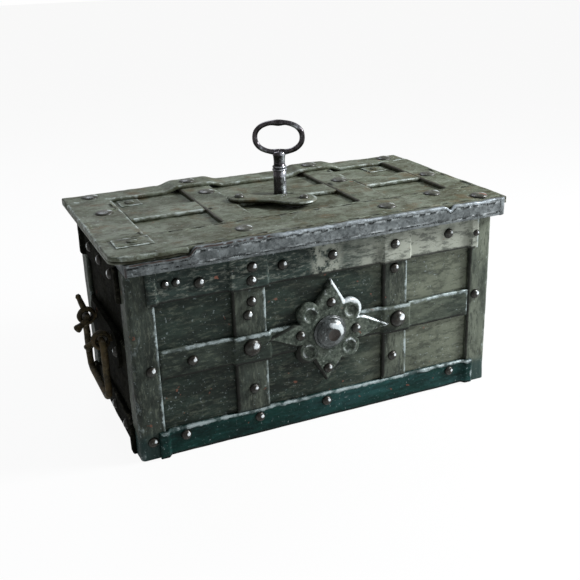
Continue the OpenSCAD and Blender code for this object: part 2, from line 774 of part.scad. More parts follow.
// Heavy front edge of the lid, with a rounded right-hand end
module front_lip() {
    end_r = lid_over_end - 1;
    low_x = -body_w / 2;
    color("slategray") union() {
        translate([0, 0, lid_z]) linear_extrude(lid_bar_h) {
            translate([low_x, lid_front_y]) square([lid_x - end_r - low_x, lid_bar_w + lid_over_front]);
            translate([lid_x - end_r, lid_front_y + end_r]) circle(end_r);
        }
        difference() {
            translate([0, 0, lid_sheet_z]) linear_extrude(sheet_t + strap_t - 0.6) {
                translate([lip_step_x, lid_front_y]) square([lid_x - end_r - lip_step_x, lip_t]);
                translate([lid_x - end_r, lid_front_y + end_r]) circle(end_r);
            }
            block([lid_x - 2 * end_r, lip_back_y, lid_sheet_z - 1], [lid_x + 1, 0, lid_top_z + 1]);
        }
    }
}

module lid_bar_end(sign) {
    color("slategray") scale([sign, 1, 1])
        block([body_w / 2 - lid_bar_w, -body_d / 2 + lid_bar_w, lid_z],
              [body_w / 2, body_d / 2, lid_sheet_z]);
}

module lid_bar_back() {
    color("slategray")
        block([-body_w / 2 + lid_bar_w, body_d / 2 - lid_bar_w, lid_z],
              [body_w / 2 - lid_bar_w, body_d / 2, lid_sheet_z]);
}

module lid_front_border() {
    color("olivedrab") difference() {
        block([-lid_x, lid_front_y, lid_strap_z], [lid_x, border_front_y, lid_top_z]);
        front_cut(lid_strap_z - 1, lid_top_z + 1);
    }
}

// Laid on the lid with its back down and stepped up over the hinge straps
module lid_back_border() {
    crossings = [for (x = hinge_x) [x - hinge_w / 2, x + hinge_w / 2]];
    color("olivedrab") translate([0, border_back_y, lid_strap_z]) rotate([-90, 0, 0])
        stepped_strap(-lid_x, lid_x, border_w[1], crossings, border_run);
}

module lid_end_strap(sign) {
    inner = sign < 0 ? lid_left_x : lid_right_x;
    color("olivedrab")
        block([min(sign * lid_x, inner), border_front_y, lid_strap_z],
              [max(sign * lid_x, inner), border_back_y, lid_top_z]);
}

// The strap of the lid's half of a hinge: it runs over the lid, turns down
// behind it and ends in the middle knuckle
module lid_hinge_strap(i) {
    low_x = hinge_x[i] - hinge_w / 2;
    color("slategray") difference() {
        union() {
            block([low_x, border_front_y, lid_strap_z],
                  [low_x + hinge_w, lid_back_y + eps, lid_top_z]);
            block([low_x, lid_back_y, hinge_z], [low_x + hinge_w, lid_back_y + strap_t, lid_top_z]);
            translate([hinge_x[i] - knuckle_w / 2, hinge_y, hinge_z]) rotate([0, 90, 0])
                cylinder(r = knuckle_r, h = knuckle_w);
            block([hinge_x[i] - knuckle_w / 2, hinge_y, hinge_z],
                  [hinge_x[i] + knuckle_w / 2, lid_back_y + eps, hinge_z + strap_t]);
        }
        translate([low_x - 1, hinge_y, hinge_z]) rotate([0, 90, 0])
            cylinder(r = hinge_pin_r + pin_fit, h = hinge_w + 2);
    }
}

module lid_middle_strap() {
    edges = [lid_left_x, hinge_x[0] - hinge_w / 2, hinge_x[0] + hinge_w / 2,
             hinge_x[1] - hinge_w / 2, hinge_x[1] + hinge_w / 2, lid_right_x];
    color("olivedrab") difference() {
        for (i = [0, 2, 4])
            block([edges[i], lid_middle_y - lid_middle_w / 2, lid_strap_z],
                  [edges[i + 1], lid_middle_y + lid_middle_w / 2, lid_top_z]);
        keyhole(lid_strap_z - 1, lid_top_z + 1);
    }
}

module lid_rivets() {
    left_u = (lid_left_x - lid_x) / 2;
    right_u = (lid_right_x + lid_x) / 2;
    back_v = (border_back_y + lid_back_y) / 2;
    color("silver") {
        for (p = lid_left_rivets) lid_rivet(left_u + p[0], lid_middle_y + p[1]);
        for (p = lid_right_rivets) lid_rivet(right_u + p[0], lid_middle_y + p[1]);
        for (p = lid_front_left_rivets) lid_rivet(left_u + p[0], lid_front_y + p[1]);
        for (p = lid_front_right_rivets) lid_rivet(right_u + p[0], lid_front_y + p[1]);
        for (i = [0, 1]) {
            lid_rivet(hinge_x[i] + lid_front_hinge_shift[i], lid_front_y + border_w[0] / 2);
            lid_rivet(hinge_x[i] + lid_back_hinge_shift[i], back_v, lid_top_z + strap_t);
            for (p = hinge_strap_rivets[i]) lid_rivet(hinge_x[i] + p[0], lid_middle_y + p[1]);
        }
        for (x = [left_u + border_w[1] / 6, right_u - border_w[1] / 6]) lid_rivet(x, back_v);
        for (p = [[lid_left_x + washer_in[0], border_back_y - washer_in[1]],
                  [lid_right_x - washer_in[2], border_back_y - washer_in[3]]]) {
            translate([p[0] - washer_w / 2, p[1] - washer_w / 2, lid_strap_z])
                cube([washer_w, washer_w, washer_t]);
            translate([p[0], p[1], lid_strap_z + washer_t]) dome(rivet_r, rivet_h / 2);
        }
        on_key_plate(key_plate_z)
            for (x = key_rivet_out) translate([x, 0, 0]) dome(rivet_r, rivet_h);
    }
}

// Half width of the key plate at the share u of the way from its point to the
// middle of its round end: a blunt point, then a slight waist. It ends a hair
// narrower than the round end, so that its last corners lie inside the circle
function key_plate_half(u) =
    (key_plate_end_r - 0.15) * (1 - pow(1 - u, 8)) * (1 - key_plate_waist * pow(sin(180 * u), 2));

// Places what follows on the middle line of the key plate, at height z
module on_key_plate(z) {
    translate([key_x, key_y, z]) rotate([0, 0, key_plate_turn])
        translate([key_plate_along, -key_plate_out, 0]) children();
}

// Plate in front of the keyhole: one end pointed, the other round, waisted between
module key_plate() {
    round_x = key_plate_l - key_plate_end_r;
    steps = 20;
    color("darkolivegreen") on_key_plate(lid_top_z) union() {
        translate([round_x, 0, 0]) cylinder(r = key_plate_end_r, h = key_plate_t);
        linear_extrude(key_plate_t)
            polygon([for (s = [1, -1], i = s > 0 ? [0:steps] : [steps:-1:1])
                [-key_plate_l + (key_plate_l + round_x) * i / steps, s * key_plate_half(i / steps)]]);
    }
}

// ------------------------------------------------------------------ lock

module lock_carrier() {
    color("dimgray") difference() {
        block([-carrier_x, -carrier_y, carrier_z], [carrier_x, carrier_y, carrier_z + cam_t]);
        keyhole(carrier_z - 1, carrier_z + cam_t + 1);
    }
}

module lock_pillars() {
    color("dimgray") for (x = [-1, 1] * (carrier_x - 12), y = [-1, 1] * (carrier_y - 10))
        translate([x, y, carrier_z + cam_t]) cylinder(r = 5, h = pillar_h);
}

// One staple under a bar that lies along Y through (x, y)
module guide(x, y, bar_w) {
    half = bar_w / 2 + guide_fit;
    translate([x, y, 0]) difference() {
        block([-half - guide_t, -guide_w / 2, bolt_z - guide_fit - guide_t],
              [half + guide_t, guide_w / 2, carrier_z]);
        block([-half, -guide_w, bolt_z - guide_fit], [half, guide_w, carrier_z + 1]);
    }
}

module bolt_guides() {
    color("dimgray") {
        for (sx = [-1, 1], sy = [-1, 1]) guide(sx * long_head_x, sy * (head_y - guide_in), bolt_w);
        guide(key_x, -head_y + guide_in, bolt_tail_w);
        for (sx = [-1, 1], sy = [-1, 1]) translate([sx * (head_x - guide_in), sy * end_head_y, 0])
            rotate([0, 0, 90]) guide(0, 0, bolt_w);
        for (sx = [-1, 1]) translate([key_x + sx * tail_guide_out, key_y, 0])
            rotate([0, 0, 90]) guide(0, 0, bolt_tail_w);
    }
}

// Bolt heads joined by a bar across them, whose tail carries the cam stud.
// Made for the front: heads point to -Y, and the stud lies stud_r from the key.
module bolt(head_out, spread, centre_u, key_u, key_v, place, head_inner) {
    bar_out = head_out - head_len;
    stud_v = key_v - place;
    half = spread + bolt_w / 2 + bar_over;
    for (s = [-1, 1])
        block([centre_u + s * spread - bolt_w / 2, -head_out, bolt_z],
              [centre_u + s * spread + bolt_w / 2, -head_out + head_inner, carrier_z]);
    block([centre_u - half, -bar_out, bolt_z], [centre_u + half, -bar_out + bolt_bar_w, carrier_z]);
    block([key_u - bolt_tail_w / 2, -bar_out, bolt_z],
          [key_u + bolt_tail_w / 2, stud_v + bolt_tail_end, carrier_z]);
    translate([key_u, stud_v, cam_z + 0.3]) cylinder(r = cam_stud_r, h = bolt_z - cam_z);
}

module bolt_front() {
    color("silver") bolt(head_y, long_head_x, 0, key_x, key_y, stud_place("front"), long_head_len);
}

module bolt_back() {
    color("silver") rotate([0, 0, 180])
        bolt(head_y, long_head_x, 0, -key_x, -key_y, stud_place("back"), long_head_len);
}

module bolt_left() {
    color("silver") rotate([0, 0, -90])
        bolt(head_x, end_head_y, 0, -key_y, key_x, stud_place("left"), end_head_len);
}

module bolt_right() {
    color("silver") rotate([0, 0, 90])
        bolt(head_x, end_head_y, 0, key_y, -key_x, stud_place("right"), end_head_len);
}

// Radius of the groove's middle line at angle a; it grows clockwise so that a
// turn of the key to the left drives the bolts out
function groove_at(a) = groove_in_r + bolt_travel * a / 360;

// Two sides of the groove from the angle a0 to a1, as one outline
module groove(a0, a1) {
    step = 5;
    polygon(concat(
        [for (a = [a0:step:a1]) (groove_at(a) - groove_r) * [cos(-a), sin(-a)]],
        [for (a = [a1:-step:a0]) (groove_at(a) + groove_r) * [cos(-a), sin(-a)]]));
}

// Disc with one spiral groove that all four studs ride in, and a hub that the
// key's bit turns
module lock_cam() {
    color("darkgoldenrod") translate([key_x, key_y, 0]) difference() {
        union() {
            translate([0, 0, cam_z]) difference() {
                cylinder(r = cam_r, h = cam_t, $fn = 128);
                translate([0, 0, -1]) linear_extrude(cam_t + 2) {
                    groove(0, groove_end / 2);
                    groove(groove_end / 2, groove_end);
                    for (a = [0, groove_end])
                        translate(groove_at(a) * [cos(-a), sin(-a)]) circle(groove_r);
                }
            }
            translate([0, 0, cam_z]) cylinder(r = hub_r, h = hub_top_z - cam_z);
            translate([0, 0, cam_z - collar_h]) cylinder(r = hub_r, h = collar_h + eps);
            translate([0, 0, pivot_z]) cylinder(r = pivot_r, h = cam_z - pivot_z);
        }
        translate([0, 0, stem_z]) cylinder(r = stem_r + pin_fit, h = hub_top_z);
        translate([0, 0, stem_z - tip_h - 0.5]) cylinder(r = tip_r + pin_fit, h = tip_h + 1);
        rotate([0, 0, key_turn]) translate([0, -bit_t / 2 - 0.1, bit_z - 0.1])
            cube([bit_reach + 0.2, bit_t + 0.2, hub_top_z]);
    }
}

// Pierced plate under the cam, on four posts
module lock_cover() {
    color("gray") translate([key_x, key_y, 0]) {
        difference() {
            block([-cover_x, -cover_y, cover_z], [cover_x, cover_y, cover_z + cover_t]);
            translate([0, 0, cover_z - 1]) {
                cylinder(r = pivot_r + pin_fit, h = cover_t + 2);
                for (a = [0:45:315]) rotate([0, 0, a]) translate([ring_hole_out, 0, 0])
                    cylinder(r = ring_hole_r, h = cover_t + 2);
                for (s = [-1, 1], a = [0:90:270]) translate([s * foil_x, 0, 0])
                    rotate([0, 0, a]) translate([foil_out, 0, 0])
                        cylinder(r = foil_r, h = cover_t + 2);
            }
        }
        for (x = [-1, 1] * post_x, y = [-1, 1] * post_y)
            translate([x, y, cover_z + cover_t - eps])
                cylinder(r = post_r, h = carrier_z - cover_z - cover_t + eps);
    }
}

// ------------------------------------------------------------------- key

// One arc of the bow: a rod of radius rod_r bent to radius r from a0 to a1
module bow_arc(r, a0, a1, rod_r) {
    rotate([90, 0, 0]) rotate([0, 0, a0])
        rotate_extrude(angle = a1 - a0) translate([r, 0]) circle(rod_r, $fn = 32);
}

// Oval ring of four arcs: two tight ones at the sides and, a little thinner
// and run into them, two wide ones above and below
module bow() {
    lap = 2;
    side_rod_r = bow_rod_r + 0.12;
    a = bow_w / 2 - bow_rod_r;
    b = bow_h / 2 - bow_rod_r;
    tight_r = b * 0.68;
    side_x = a - tight_r;
    wide_r = (side_x * side_x + b * b - tight_r * tight_r) / (2 * (b - tight_r));
    tilt = atan2(side_x, wide_r - b);
    for (s = [0, 180]) rotate([0, s, 0]) {
        translate([side_x, 0, 0]) bow_arc(tight_r, tilt - 90, 90 - tilt, side_rod_r);
        translate([0, 0, b - wide_r]) bow_arc(wide_r, 90 - tilt - lap, 90 + tilt + lap, bow_rod_r);
    }
    translate([0, 0, b - bow_rod_r * 0.7]) sphere(bow_rod_r);
}

module key() {
    color("lightslategray") translate([key_x, key_y, 0]) rotate([0, 0, key_turn]) {
        translate([0, 0, stem_z]) cylinder(r = stem_r, h = collar_z - stem_z);
        translate([0, 0, stem_z - tip_h]) cylinder(r = tip_r, h = tip_h + eps);
        translate([0, 0, collar_z]) rotate_extrude() polygon([
            [0, 0], [stem_r + 0.7, 0], [stem_r + 0.7, 1.3], [stem_r - 0.5, 1.6], [stem_r - 0.5, 2.4],
            [stem_r + 0.5, 2.7], [stem_r + 0.5, 3.7], [neck_r, key_collar_h], [0, key_collar_h]]);
        translate([0, 0, neck_z]) cylinder(r = neck_r, h = neck_h - 4);
        translate([0, 0, neck_z + neck_h - 4]) cylinder(r1 = neck_r, r2 = neck_r + 0.9, h = 4);
        translate([0, 0, bow_z]) bow();
        difference() {
            translate([0, -bit_t / 2, bit_z]) cube([bit_reach, bit_t, bit_h]);
            for (z = [bit_z + 2.4, bit_z + 5]) translate([bit_reach - 3.2, -bit_t, z])
                cube([4, 2 * bit_t, 0.9]);
        }
    }
}

// ------------------------------------------------------------------ nodes

bottom_plate();
long_plate("front");  // front_plate
long_plate("back");  // back_plate
end_plate("left");  // left_plate
end_plate("right");  // right_plate
corner_strap(-1, -1);  // corner_strap_front_left
corner_strap(1, -1);  // corner_strap_front_right
corner_strap(-1, 1);  // corner_strap_back_left
corner_strap(1, 1);  // corner_strap_back_right
front_upright(0);  // front_upright_left
front_upright(1);  // front_upright_right
bottom_band("front");  // front_bottom_band
middle_band("front", upright_crossings());  // front_middle_band
top_band("front", upright_crossings());  // front_top_band
bottom_band("back");  // back_bottom_band
middle_band("back");  // back_middle_band
top_band("back");  // back_top_band
end_bands("left");  // left_end_bands
end_bands("right");  // right_end_bands
back_hinge_strap(0);  // back_hinge_strap_left
back_hinge_strap(1);  // back_hinge_strap_right
hinge_pins();
rim_flange();
false_lock_plate();
front_boss();
front_rivets();
back_rivets();
end_rivets("left");  // left_end_rivets
end_rivets("right");  // right_end_rivets
handle_backplate("left");  // left_handle_plate
handle_backplate("right");  // right_handle_plate
handle_eyes("left");  // left_handle_eyes
handle_eyes("right");  // right_handle_eyes
lid_plate();
front_lip();
lid_bar_end(-1);  // lid_bar_left
lid_bar_end(1);  // lid_bar_right
lid_bar_back();
lid_front_border();
lid_back_border();
lid_end_strap(-1);  // lid_left_strap
lid_end_strap(1);  // lid_right_strap
lid_hinge_strap(0);  // lid_hinge_strap_left
lid_hinge_strap(1);  // lid_hinge_strap_right
lid_middle_strap();
lid_rivets();
key_plate();
lock_carrier();
lock_pillars();
bolt_guides();
lock_cover();
lock_cam();
bolt_front();
bolt_back();
bolt_left();
bolt_right();
key();
bail("left");  // left_bail
bail("right");  // right_bail
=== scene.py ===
"""Riveted iron strongbox with its key in the lid: finishes, forged surfaces, stage and camera.

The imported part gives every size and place. Straps, sheets, rivets, the false lock plate, the handles and
the key are worked out as forged surfaces over it, in millimetres, and are scaled to metres once.
"""

import itertools
import logging
import math
from dataclasses import dataclass, field, replace
from enum import Enum
from typing import Callable, Iterable, Sequence

import bmesh
import bpy
import numpy as np
from mathutils import Matrix, Vector


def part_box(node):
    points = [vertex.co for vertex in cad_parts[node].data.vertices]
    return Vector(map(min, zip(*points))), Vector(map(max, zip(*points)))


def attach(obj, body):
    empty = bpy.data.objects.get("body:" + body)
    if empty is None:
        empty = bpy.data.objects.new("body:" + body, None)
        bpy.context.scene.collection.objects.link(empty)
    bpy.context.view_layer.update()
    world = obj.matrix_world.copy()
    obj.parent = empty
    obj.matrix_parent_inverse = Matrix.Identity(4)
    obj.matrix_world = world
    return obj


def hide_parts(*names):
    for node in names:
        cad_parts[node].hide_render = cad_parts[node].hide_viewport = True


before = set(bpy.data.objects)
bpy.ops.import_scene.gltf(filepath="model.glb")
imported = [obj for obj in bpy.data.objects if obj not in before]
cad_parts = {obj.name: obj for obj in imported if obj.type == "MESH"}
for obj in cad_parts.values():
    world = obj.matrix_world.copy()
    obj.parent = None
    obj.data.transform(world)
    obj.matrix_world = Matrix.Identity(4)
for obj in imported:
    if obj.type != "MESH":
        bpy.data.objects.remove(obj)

LOG = logging.getLogger("strongbox")
MM = 0.001
X, Y, Z = np.eye(3)
Array = np.ndarray
Socket = bpy.types.NodeSocket
Tree = bpy.types.NodeTree
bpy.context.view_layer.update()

# The lattice hash: a factor for each axis, one for the seed, one that mixes, and the hash's range.
HASH_FACTORS = np.array([73856093, 19349663, 83492791])
HASH_SEED = 7919
HASH_MIX = 1274126177
HASH_MASK = 0xFFFFFF
HASH_HALF = 0x7FFFFF

# A rounded shoulder of a strap: two columns on its wall, three on its arc, two on its face, and the share of
# the edge's rubbing, dirt and painted light that each takes.
SHOULDER_COLUMNS = 7
SHOULDER_ARC = np.radians([30, 60, 90])
SHOULDER_WORN = np.array([0.2, 0.7, 1, 1, 0.95, 0.5, 0.0])


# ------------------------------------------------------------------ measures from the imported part


def corners(node: str) -> tuple[Array, Array]:
    """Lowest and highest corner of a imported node, in millimetres.

    Args:
        node: name of the node.

    Returns:
        The two corners.
    """
    low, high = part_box(node)
    return np.array(low) / MM, np.array(high) / MM


def reach(node: str, direction: Array) -> tuple[float, float]:
    """Least and greatest distance of a node along a direction that lies along an axis.

    Args:
        node: name of the node.
        direction: unit vector.

    Returns:
        The two distances in millimetres.
    """
    ends = sorted(float(corner @ direction) for corner in corners(node))
    return ends[0], ends[1]


def solids_of(node: str) -> list[tuple[Array, Array]]:
    """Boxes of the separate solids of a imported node.

    Corners that lie in one place are joined, then each corner takes the lowest number among the corners
    that its triangles touch, until nothing changes.

    Args:
        node: name of the node.

    Returns:
        One pair of corners for each solid, in millimetres, in a fixed order.
    """
    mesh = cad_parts[node].data
    points = np.zeros(len(mesh.vertices) * 3)
    mesh.vertices.foreach_get("co", points)
    points = points.reshape(-1, 3) / MM
    triangles = np.array([loop.vertex_index for loop in mesh.loops]).reshape(-1, 3)
    _, same = np.unique(np.round(points, 3), axis=0, return_inverse=True)
    triangles = same.reshape(-1)[triangles]
    label = np.arange(same.max() + 1)
    while True:
        least = label[triangles].min(axis=1)
        before = label.copy()
        for side in range(3):
            np.minimum.at(label, triangles[:, side], least)
        label = label[label]
        if np.array_equal(before, label):
            break
    of_point = label[same.reshape(-1)]
    groups = [points[of_point == value] for value in np.unique(of_point)]
    boxes = [(group.min(axis=0), group.max(axis=0)) for group in groups]
    return sorted(boxes, key=lambda box: tuple(np.round(box[0], 2)))


# ------------------------------------------------------------------ surfaces


def lattice_noise(points: Array, cell: float, seed: int) -> Array:
    """Smooth random heights between -1 and 1.

    Each corner of a cubic lattice gets a height from a hash of its numbers and the seed. Between the
    corners the heights are joined along each axis by the curve 3 t^2 - 2 t^3.

    Args:
        points: places in millimetres, their coordinates along the last axis.
        cell: size of a lattice cell in millimetres.
        seed: number that picks one pattern.

    Returns:
        One height for each place.
    """
    place = np.asarray(points, float) / cell
    cell_index = np.floor(place).astype(np.int64)
    share = place - cell_index
    share = share * share * (3 - 2 * share)
    total = np.zeros(place.shape[:-1])
    for corner in itertools.product((0, 1), repeat=3):
        a, b, c = np.moveaxis((cell_index + np.array(corner)) * HASH_FACTORS, -1, 0)
        mixed = a ^ b ^ c ^ (seed * HASH_SEED)
        mixed = (mixed ^ (mixed >> 13)) * HASH_MIX & HASH_MASK
        weight = np.prod(np.where(np.array(corner), share, 1 - share), axis=-1)
        total += weight * (mixed / HASH_HALF - 1)
    return total


def line_noise(s: Array, cell: float, seed: int) -> Array:
    """Smooth random heights along a line.

    Args:
        s: places on the line in millimetres.
        cell: size of a lattice cell in millimetres.
        seed: number that picks one pattern.

    Returns:
        One height between -1 and 1 for each place.
    """
    return lattice_noise(np.stack([s, 0 * s, 0 * s], -1), cell, seed)


def hammered(points: Array, depth: float, seed: int, cell: float = 17.0) -> Array:
    """Depth of the dents of hand-forged iron: broad hammer marks with smaller ones in them.

    Args:
        points: places in millimetres.
        depth: depth of the broad marks.
        seed: number that picks one pattern.
        cell: width of the broad marks.

    Returns:
        One depth for each place, in millimetres.
    """
    finer, shallower = 3.3, 0.45
    broad = lattice_noise(points, cell, seed)
    small = lattice_noise(points, cell / finer, seed + 1)
    return depth * (broad + shallower * small)


def quads(rows: int, columns: int, ring: bool) -> Array:
    """Four-sided faces between the rows of a grid of points, each row closed.

    Args:
        rows: number of rows.
        columns: number of points in a row.
        ring: whether the last row joins the first.

    Returns:
        Point numbers, four for each face.
    """
    i = np.arange(rows if ring else rows - 1)[:, None]
    j = np.arange(columns)[None, :]
    i2, j2 = (i + 1) % rows, (j + 1) % columns
    corner = [i * columns + j, i2 * columns + j, i2 * columns + j2, i * columns + j2]
    return np.stack(corner, -1).reshape(-1, 4)


@dataclass
class Skin:
    """A surface under construction: places in millimetres, faces, and the rubbing, dirt and painted light at
    each place.

    The value runs up to 1 where the paint is rubbed off a bright edge and where a painted highlight is laid,
    and down to -1 where dirt lies thick and where painted shade is laid.
    """

    points: Array
    faces: list
    wear: Array


def joined(skins: Sequence[Skin]) -> Skin:
    """Several surfaces as one.

    Args:
        skins: the surfaces, in order.

    Returns:
        The joined surface.
    """
    starts = np.cumsum([0] + [len(skin.points) for skin in skins]).tolist()
    faces = [[n + start for n in face] for skin, start in zip(skins, starts) for face in skin.faces]
    return Skin(np.vstack([s.points for s in skins]), faces, np.concatenate([s.wear for s in skins]))


def grid_skin(points: Array, wear: Array | float, ring: bool = False) -> Skin:
    """Skin of rows of points: a ring of rows, or a tube with a flat face over its first and last row.

    Args:
        points: rows by columns by three.
        wear: rubbing, dirt and painted light at each row and column, or what stands for it.
        ring: whether the last row joins the first.

    Returns:
        The skin.
    """
    rows, columns = points.shape[:2]
    faces = quads(rows, columns, ring).tolist()
    if not ring:
        faces.append(list(range(columns)))
        faces.append(list(range((rows - 1) * columns, rows * columns))[::-1])
    return Skin(points.reshape(-1, 3), faces, np.broadcast_to(wear, (rows, columns)).reshape(-1))


def smoothstep(value: Array, low: float, high: float) -> Array:
    """Rise from 0 at low to 1 at high along 3 t^2 - 2 t^3.

    Args:
        value: where it is read.
        low: end of the zeros.
        high: start of the ones.

    Returns:
        The risen values.
    """
    t = np.clip((np.asarray(value, float) - low) / (high - low), 0, 1)
    return t * t * (3 - 2 * t)


def spaced(start: float, end: float, step: float, extra: Iterable[float] = ()) -> Array:
    """Places from start to end no further apart than step, with some extra ones between.

    Args:
        start: first place.
        end: last place.
        step: greatest distance.
        extra: places that are added where they lie inside.

    Returns:
        Sorted places.
    """
    count = max(2, int(math.ceil((end - start) / step)) + 1)
    inside = [e for e in extra if start < e < end]
    return np.unique(np.round(np.concatenate([np.linspace(start, end, count), inside]), 4))


@dataclass
class Forging:
    """How roughly a strap or sheet was forged, and the rubbing, dirt and painted light of its edges from -1
    to 1.
    """

    dent: float = 0.28
    edge_wander: float = 0.3
    shoulder: float = 1.3
    # By default the low edge and the first end are darkened, as dirt and painted shade, and the high edge and
    # the last end paled, as rubbing and painted highlight.
    low_wear_and_light: float = -0.7
    high_wear_and_light: float = 1.0
    start_wear_and_light: float = -0.3
    end_wear: float = 0.8
    face_step: float = 4.0
    seed: int = 1

    def worn(self, low: float, high: float, start: float, end: float, seed: int) -> "Forging":
        """The same forging with its own edge values and dents.

        Args:
            low: rubbing, dirt and painted light of the low edge.
            high: rubbing, dirt and painted light of the high edge.
            start: rubbing, dirt and painted light of the first end.
            end: rubbing, dirt and painted light of the last end.
            seed: number that picks the dents.

        Returns:
            The forging.
        """
        return replace(self, low_wear_and_light=low, high_wear_and_light=high, start_wear_and_light=start, end_wear=end, seed=seed)


WALL_SHEET = Forging(dent=0.45, edge_wander=0.0, shoulder=0.4, face_step=3.5)
WASHER = Forging(dent=0.1, edge_wander=0.6, shoulder=0.9, face_step=2.0)
LID_SHEET = Forging(dent=0.45, edge_wander=0.0, shoulder=0.9, face_step=3.0)
FRONT_BORDER = Forging(dent=0.4, edge_wander=0.0, shoulder=0.9, face_step=3.0)
LID_STRAP = Forging(dent=0.35, edge_wander=0.35, shoulder=1.1, face_step=3.0)
MIDDLE_STRAP = Forging(dent=0.3, edge_wander=0.3, shoulder=1.0, face_step=3.0)
LIP_FACING = Forging(dent=0.35, edge_wander=0.25, shoulder=0.9, face_step=2.0)
LIP_INNER = Forging(dent=0.2, edge_wander=0.2, shoulder=0.8, face_step=5.0)
LIP_END = Forging(dent=0.2, edge_wander=0.2, shoulder=1.2, face_step=1.5)
LID_BAR = Forging(dent=0.2, edge_wander=0.3, shoulder=0.9, face_step=5.0)
KEY_BIT = Forging(dent=0.03, edge_wander=0.0, shoulder=0.25, face_step=3.0)


@dataclass
class Bar:
    """A flat bar along one direction that can step out over others and change its width.

    The section is a rectangle with two rounded shoulders. It is carried along the bar, its two edges
    following low_edge and high_edge, and its back following base plus the steps.
    """

    along: Array
    across: Array
    out: Array
    start: float
    end: float
    low_edge: float | Callable[[Array], Array]
    high_edge: float | Callable[[Array], Array]
    base: float
    thick: float
    crossings: Sequence[tuple[float, float]] = ()
    step_run: float = 3.5
    step_high: float = 3.5
    forging: Forging = field(default_factory=Forging)

    def lift(self, s: Array) -> Array:
        """Height of the back over its base: the step height over each crossing, smooth at its ends.

        Args:
            s: distances along the bar.

        Returns:
            The heights in millimetres.
        """
        clear = 0.3
        risen = np.zeros(len(s))
        for low, high in self.crossings:
            up = smoothstep(s, low - self.step_run - clear, low - clear)
            down = smoothstep(s, high + clear, high + self.step_run + clear)
            risen = np.maximum(risen, up * (1 - down))
        return risen * self.step_high

    def stations(self, r: float) -> Array:
        """Places along the bar: even ones, closer ones at its steps, and those of its rounded ends.

        Args:
            r: radius of the shoulder.

        Returns:
            Sorted places in millimetres.
        """
        rounding = [r * 0.13, r * 0.5, r, r + 1.2]
        slopes = [e + d * self.step_run / 5 for ends in self.crossings for d in range(-6, 7) for e in ends]
        ends = [self.start + e for e in rounding] + [self.end - e for e in rounding]
        return spaced(self.start, self.end, self.forging.face_step, slopes + ends)

    def section(self, r: float, width: float) -> tuple[Array, Array, Array, Array]:
        """Columns of the section: up the low edge over its shoulder, across the face and down the high edge.

        Args:
            r: radius of the shoulder.
            width: greatest width of the bar.

        Returns:
            For each column its share of the width, its shift from there, its height and its rubbing, dirt and
            painted light.
        """
        f = self.forging
        inset = np.concatenate([[0, 0], r * (1 - np.cos(SHOULDER_ARC)), [r + 0.9, r + 2.4]])
        top = self.thick
        depth = np.concatenate([[0, top - r], top - r + r * np.sin(SHOULDER_ARC), [top, top]])
        face = np.linspace(0, 1, max(2, int(width / f.face_step)))[1:-1]
        flat = np.zeros(len(face))
        share = np.concatenate([np.zeros(SHOULDER_COLUMNS), face, np.ones(SHOULDER_COLUMNS)])
        shift = np.concatenate([inset, flat, -inset[::-1]])
        height = np.concatenate([depth, flat + top, depth[::-1]])
        wear = np.concatenate([SHOULDER_WORN * f.low_wear_and_light, flat, SHOULDER_WORN[::-1] * f.high_wear_and_light])
        return share, shift, height, wear

    def skin(self) -> Skin:
        """Closed surface of the bar.

        Where the bar is narrow, its columns are held between those of the two shoulders. Its ends are
        rounded as its edges are.

        Returns:
            The skin in millimetres.
        """
        f = self.forging
        r = min(f.shoulder, self.thick * 0.6)
        s = self.stations(r)
        low, high = (e(s) if callable(e) else np.full(len(s), e) for e in (self.low_edge, self.high_edge))
        share, shift, height, wear = self.section(r, float(np.max(high - low)))
        a = low[:, None] + (high - low)[:, None] * share + shift
        order = np.sort(a, axis=1)
        least, most = order[:, SHOULDER_COLUMNS - 1, None], order[:, -SHOULDER_COLUMNS, None]
        a = np.where(share[None, :] % 1 > 0, np.clip(a, least, most), a)
        from_end = np.minimum(s - self.start, self.end - s)[:, None]
        rounded = self.thick - r + np.sqrt(np.maximum(r * r - np.maximum(r - from_end, 0) ** 2, 0))
        d = np.minimum(height[None, :] + 0 * a, rounded)
        end_wear = np.where(s - self.start < self.end - s, f.start_wear_and_light, f.end_wear)[:, None]
        at_end = 1 - smoothstep(from_end, r, r + 2)
        wear = wear[None, :] * (1 - at_end) + end_wear * at_end
        grid = s[:, None, None] * self.along + a[..., None] * self.across
        dents = (hammered(grid, f.dent, f.seed) - 0.3 * f.dent) * (d / self.thick)
        at_edge = np.abs(share - 0.5) > 0.49
        wander = f.edge_wander * lattice_noise(grid, 23.0, f.seed + 5) * at_edge
        out = self.base + self.lift(s)[:, None] + d + dents
        places = grid + wander[..., None] * self.across + out[..., None] * self.out
        return grid_skin(places, wear)


def around(count: int) -> Array:
    """Angles of a number of places spread evenly round a circle.

    Args:
        count: how many.

    Returns:
        The angles in radians, from 0.
    """
    return np.linspace(0, 2 * np.pi, count, endpoint=False)


def circle(count: int, first: Array, second: Array) -> Array:
    """Unit vectors spread evenly round a circle.

    Args:
        count: how many.
        first: direction of the first.
        second: direction a quarter turn on.

    Returns:
        One unit vector per row.
    """
    angle = around(count)
    return np.cos(angle)[:, None] * first + np.sin(angle)[:, None] * second


def hoop(centre: Array, section: Array, first: Array, second: Array, axis: Array) -> Array:
    """Places of a section carried round a circle of 32 places.

    Args:
        centre: middle of the circle.
        section: distance from the axis and place along it, one pair per point.
        first: direction of the first place.
        second: direction a quarter turn on.
        axis: direction of the axis.

    Returns:
        Places, 32 rows by the points of the section by three.
    """
    round_ = circle(32, first, second)
    return centre + section[None, :, 0, None] * round_[:, None] + section[None, :, 1, None] * axis


def mirrored(half: Array, flip: tuple) -> Array:
    """A row of points, followed by the same points mirrored, in the opposite order.

    Args:
        half: the points.
        flip: factor of each coordinate of the mirrored points.

    Returns:
        Twice as many points.
    """
    return np.vstack([half, half[::-1] * np.array(flip)])


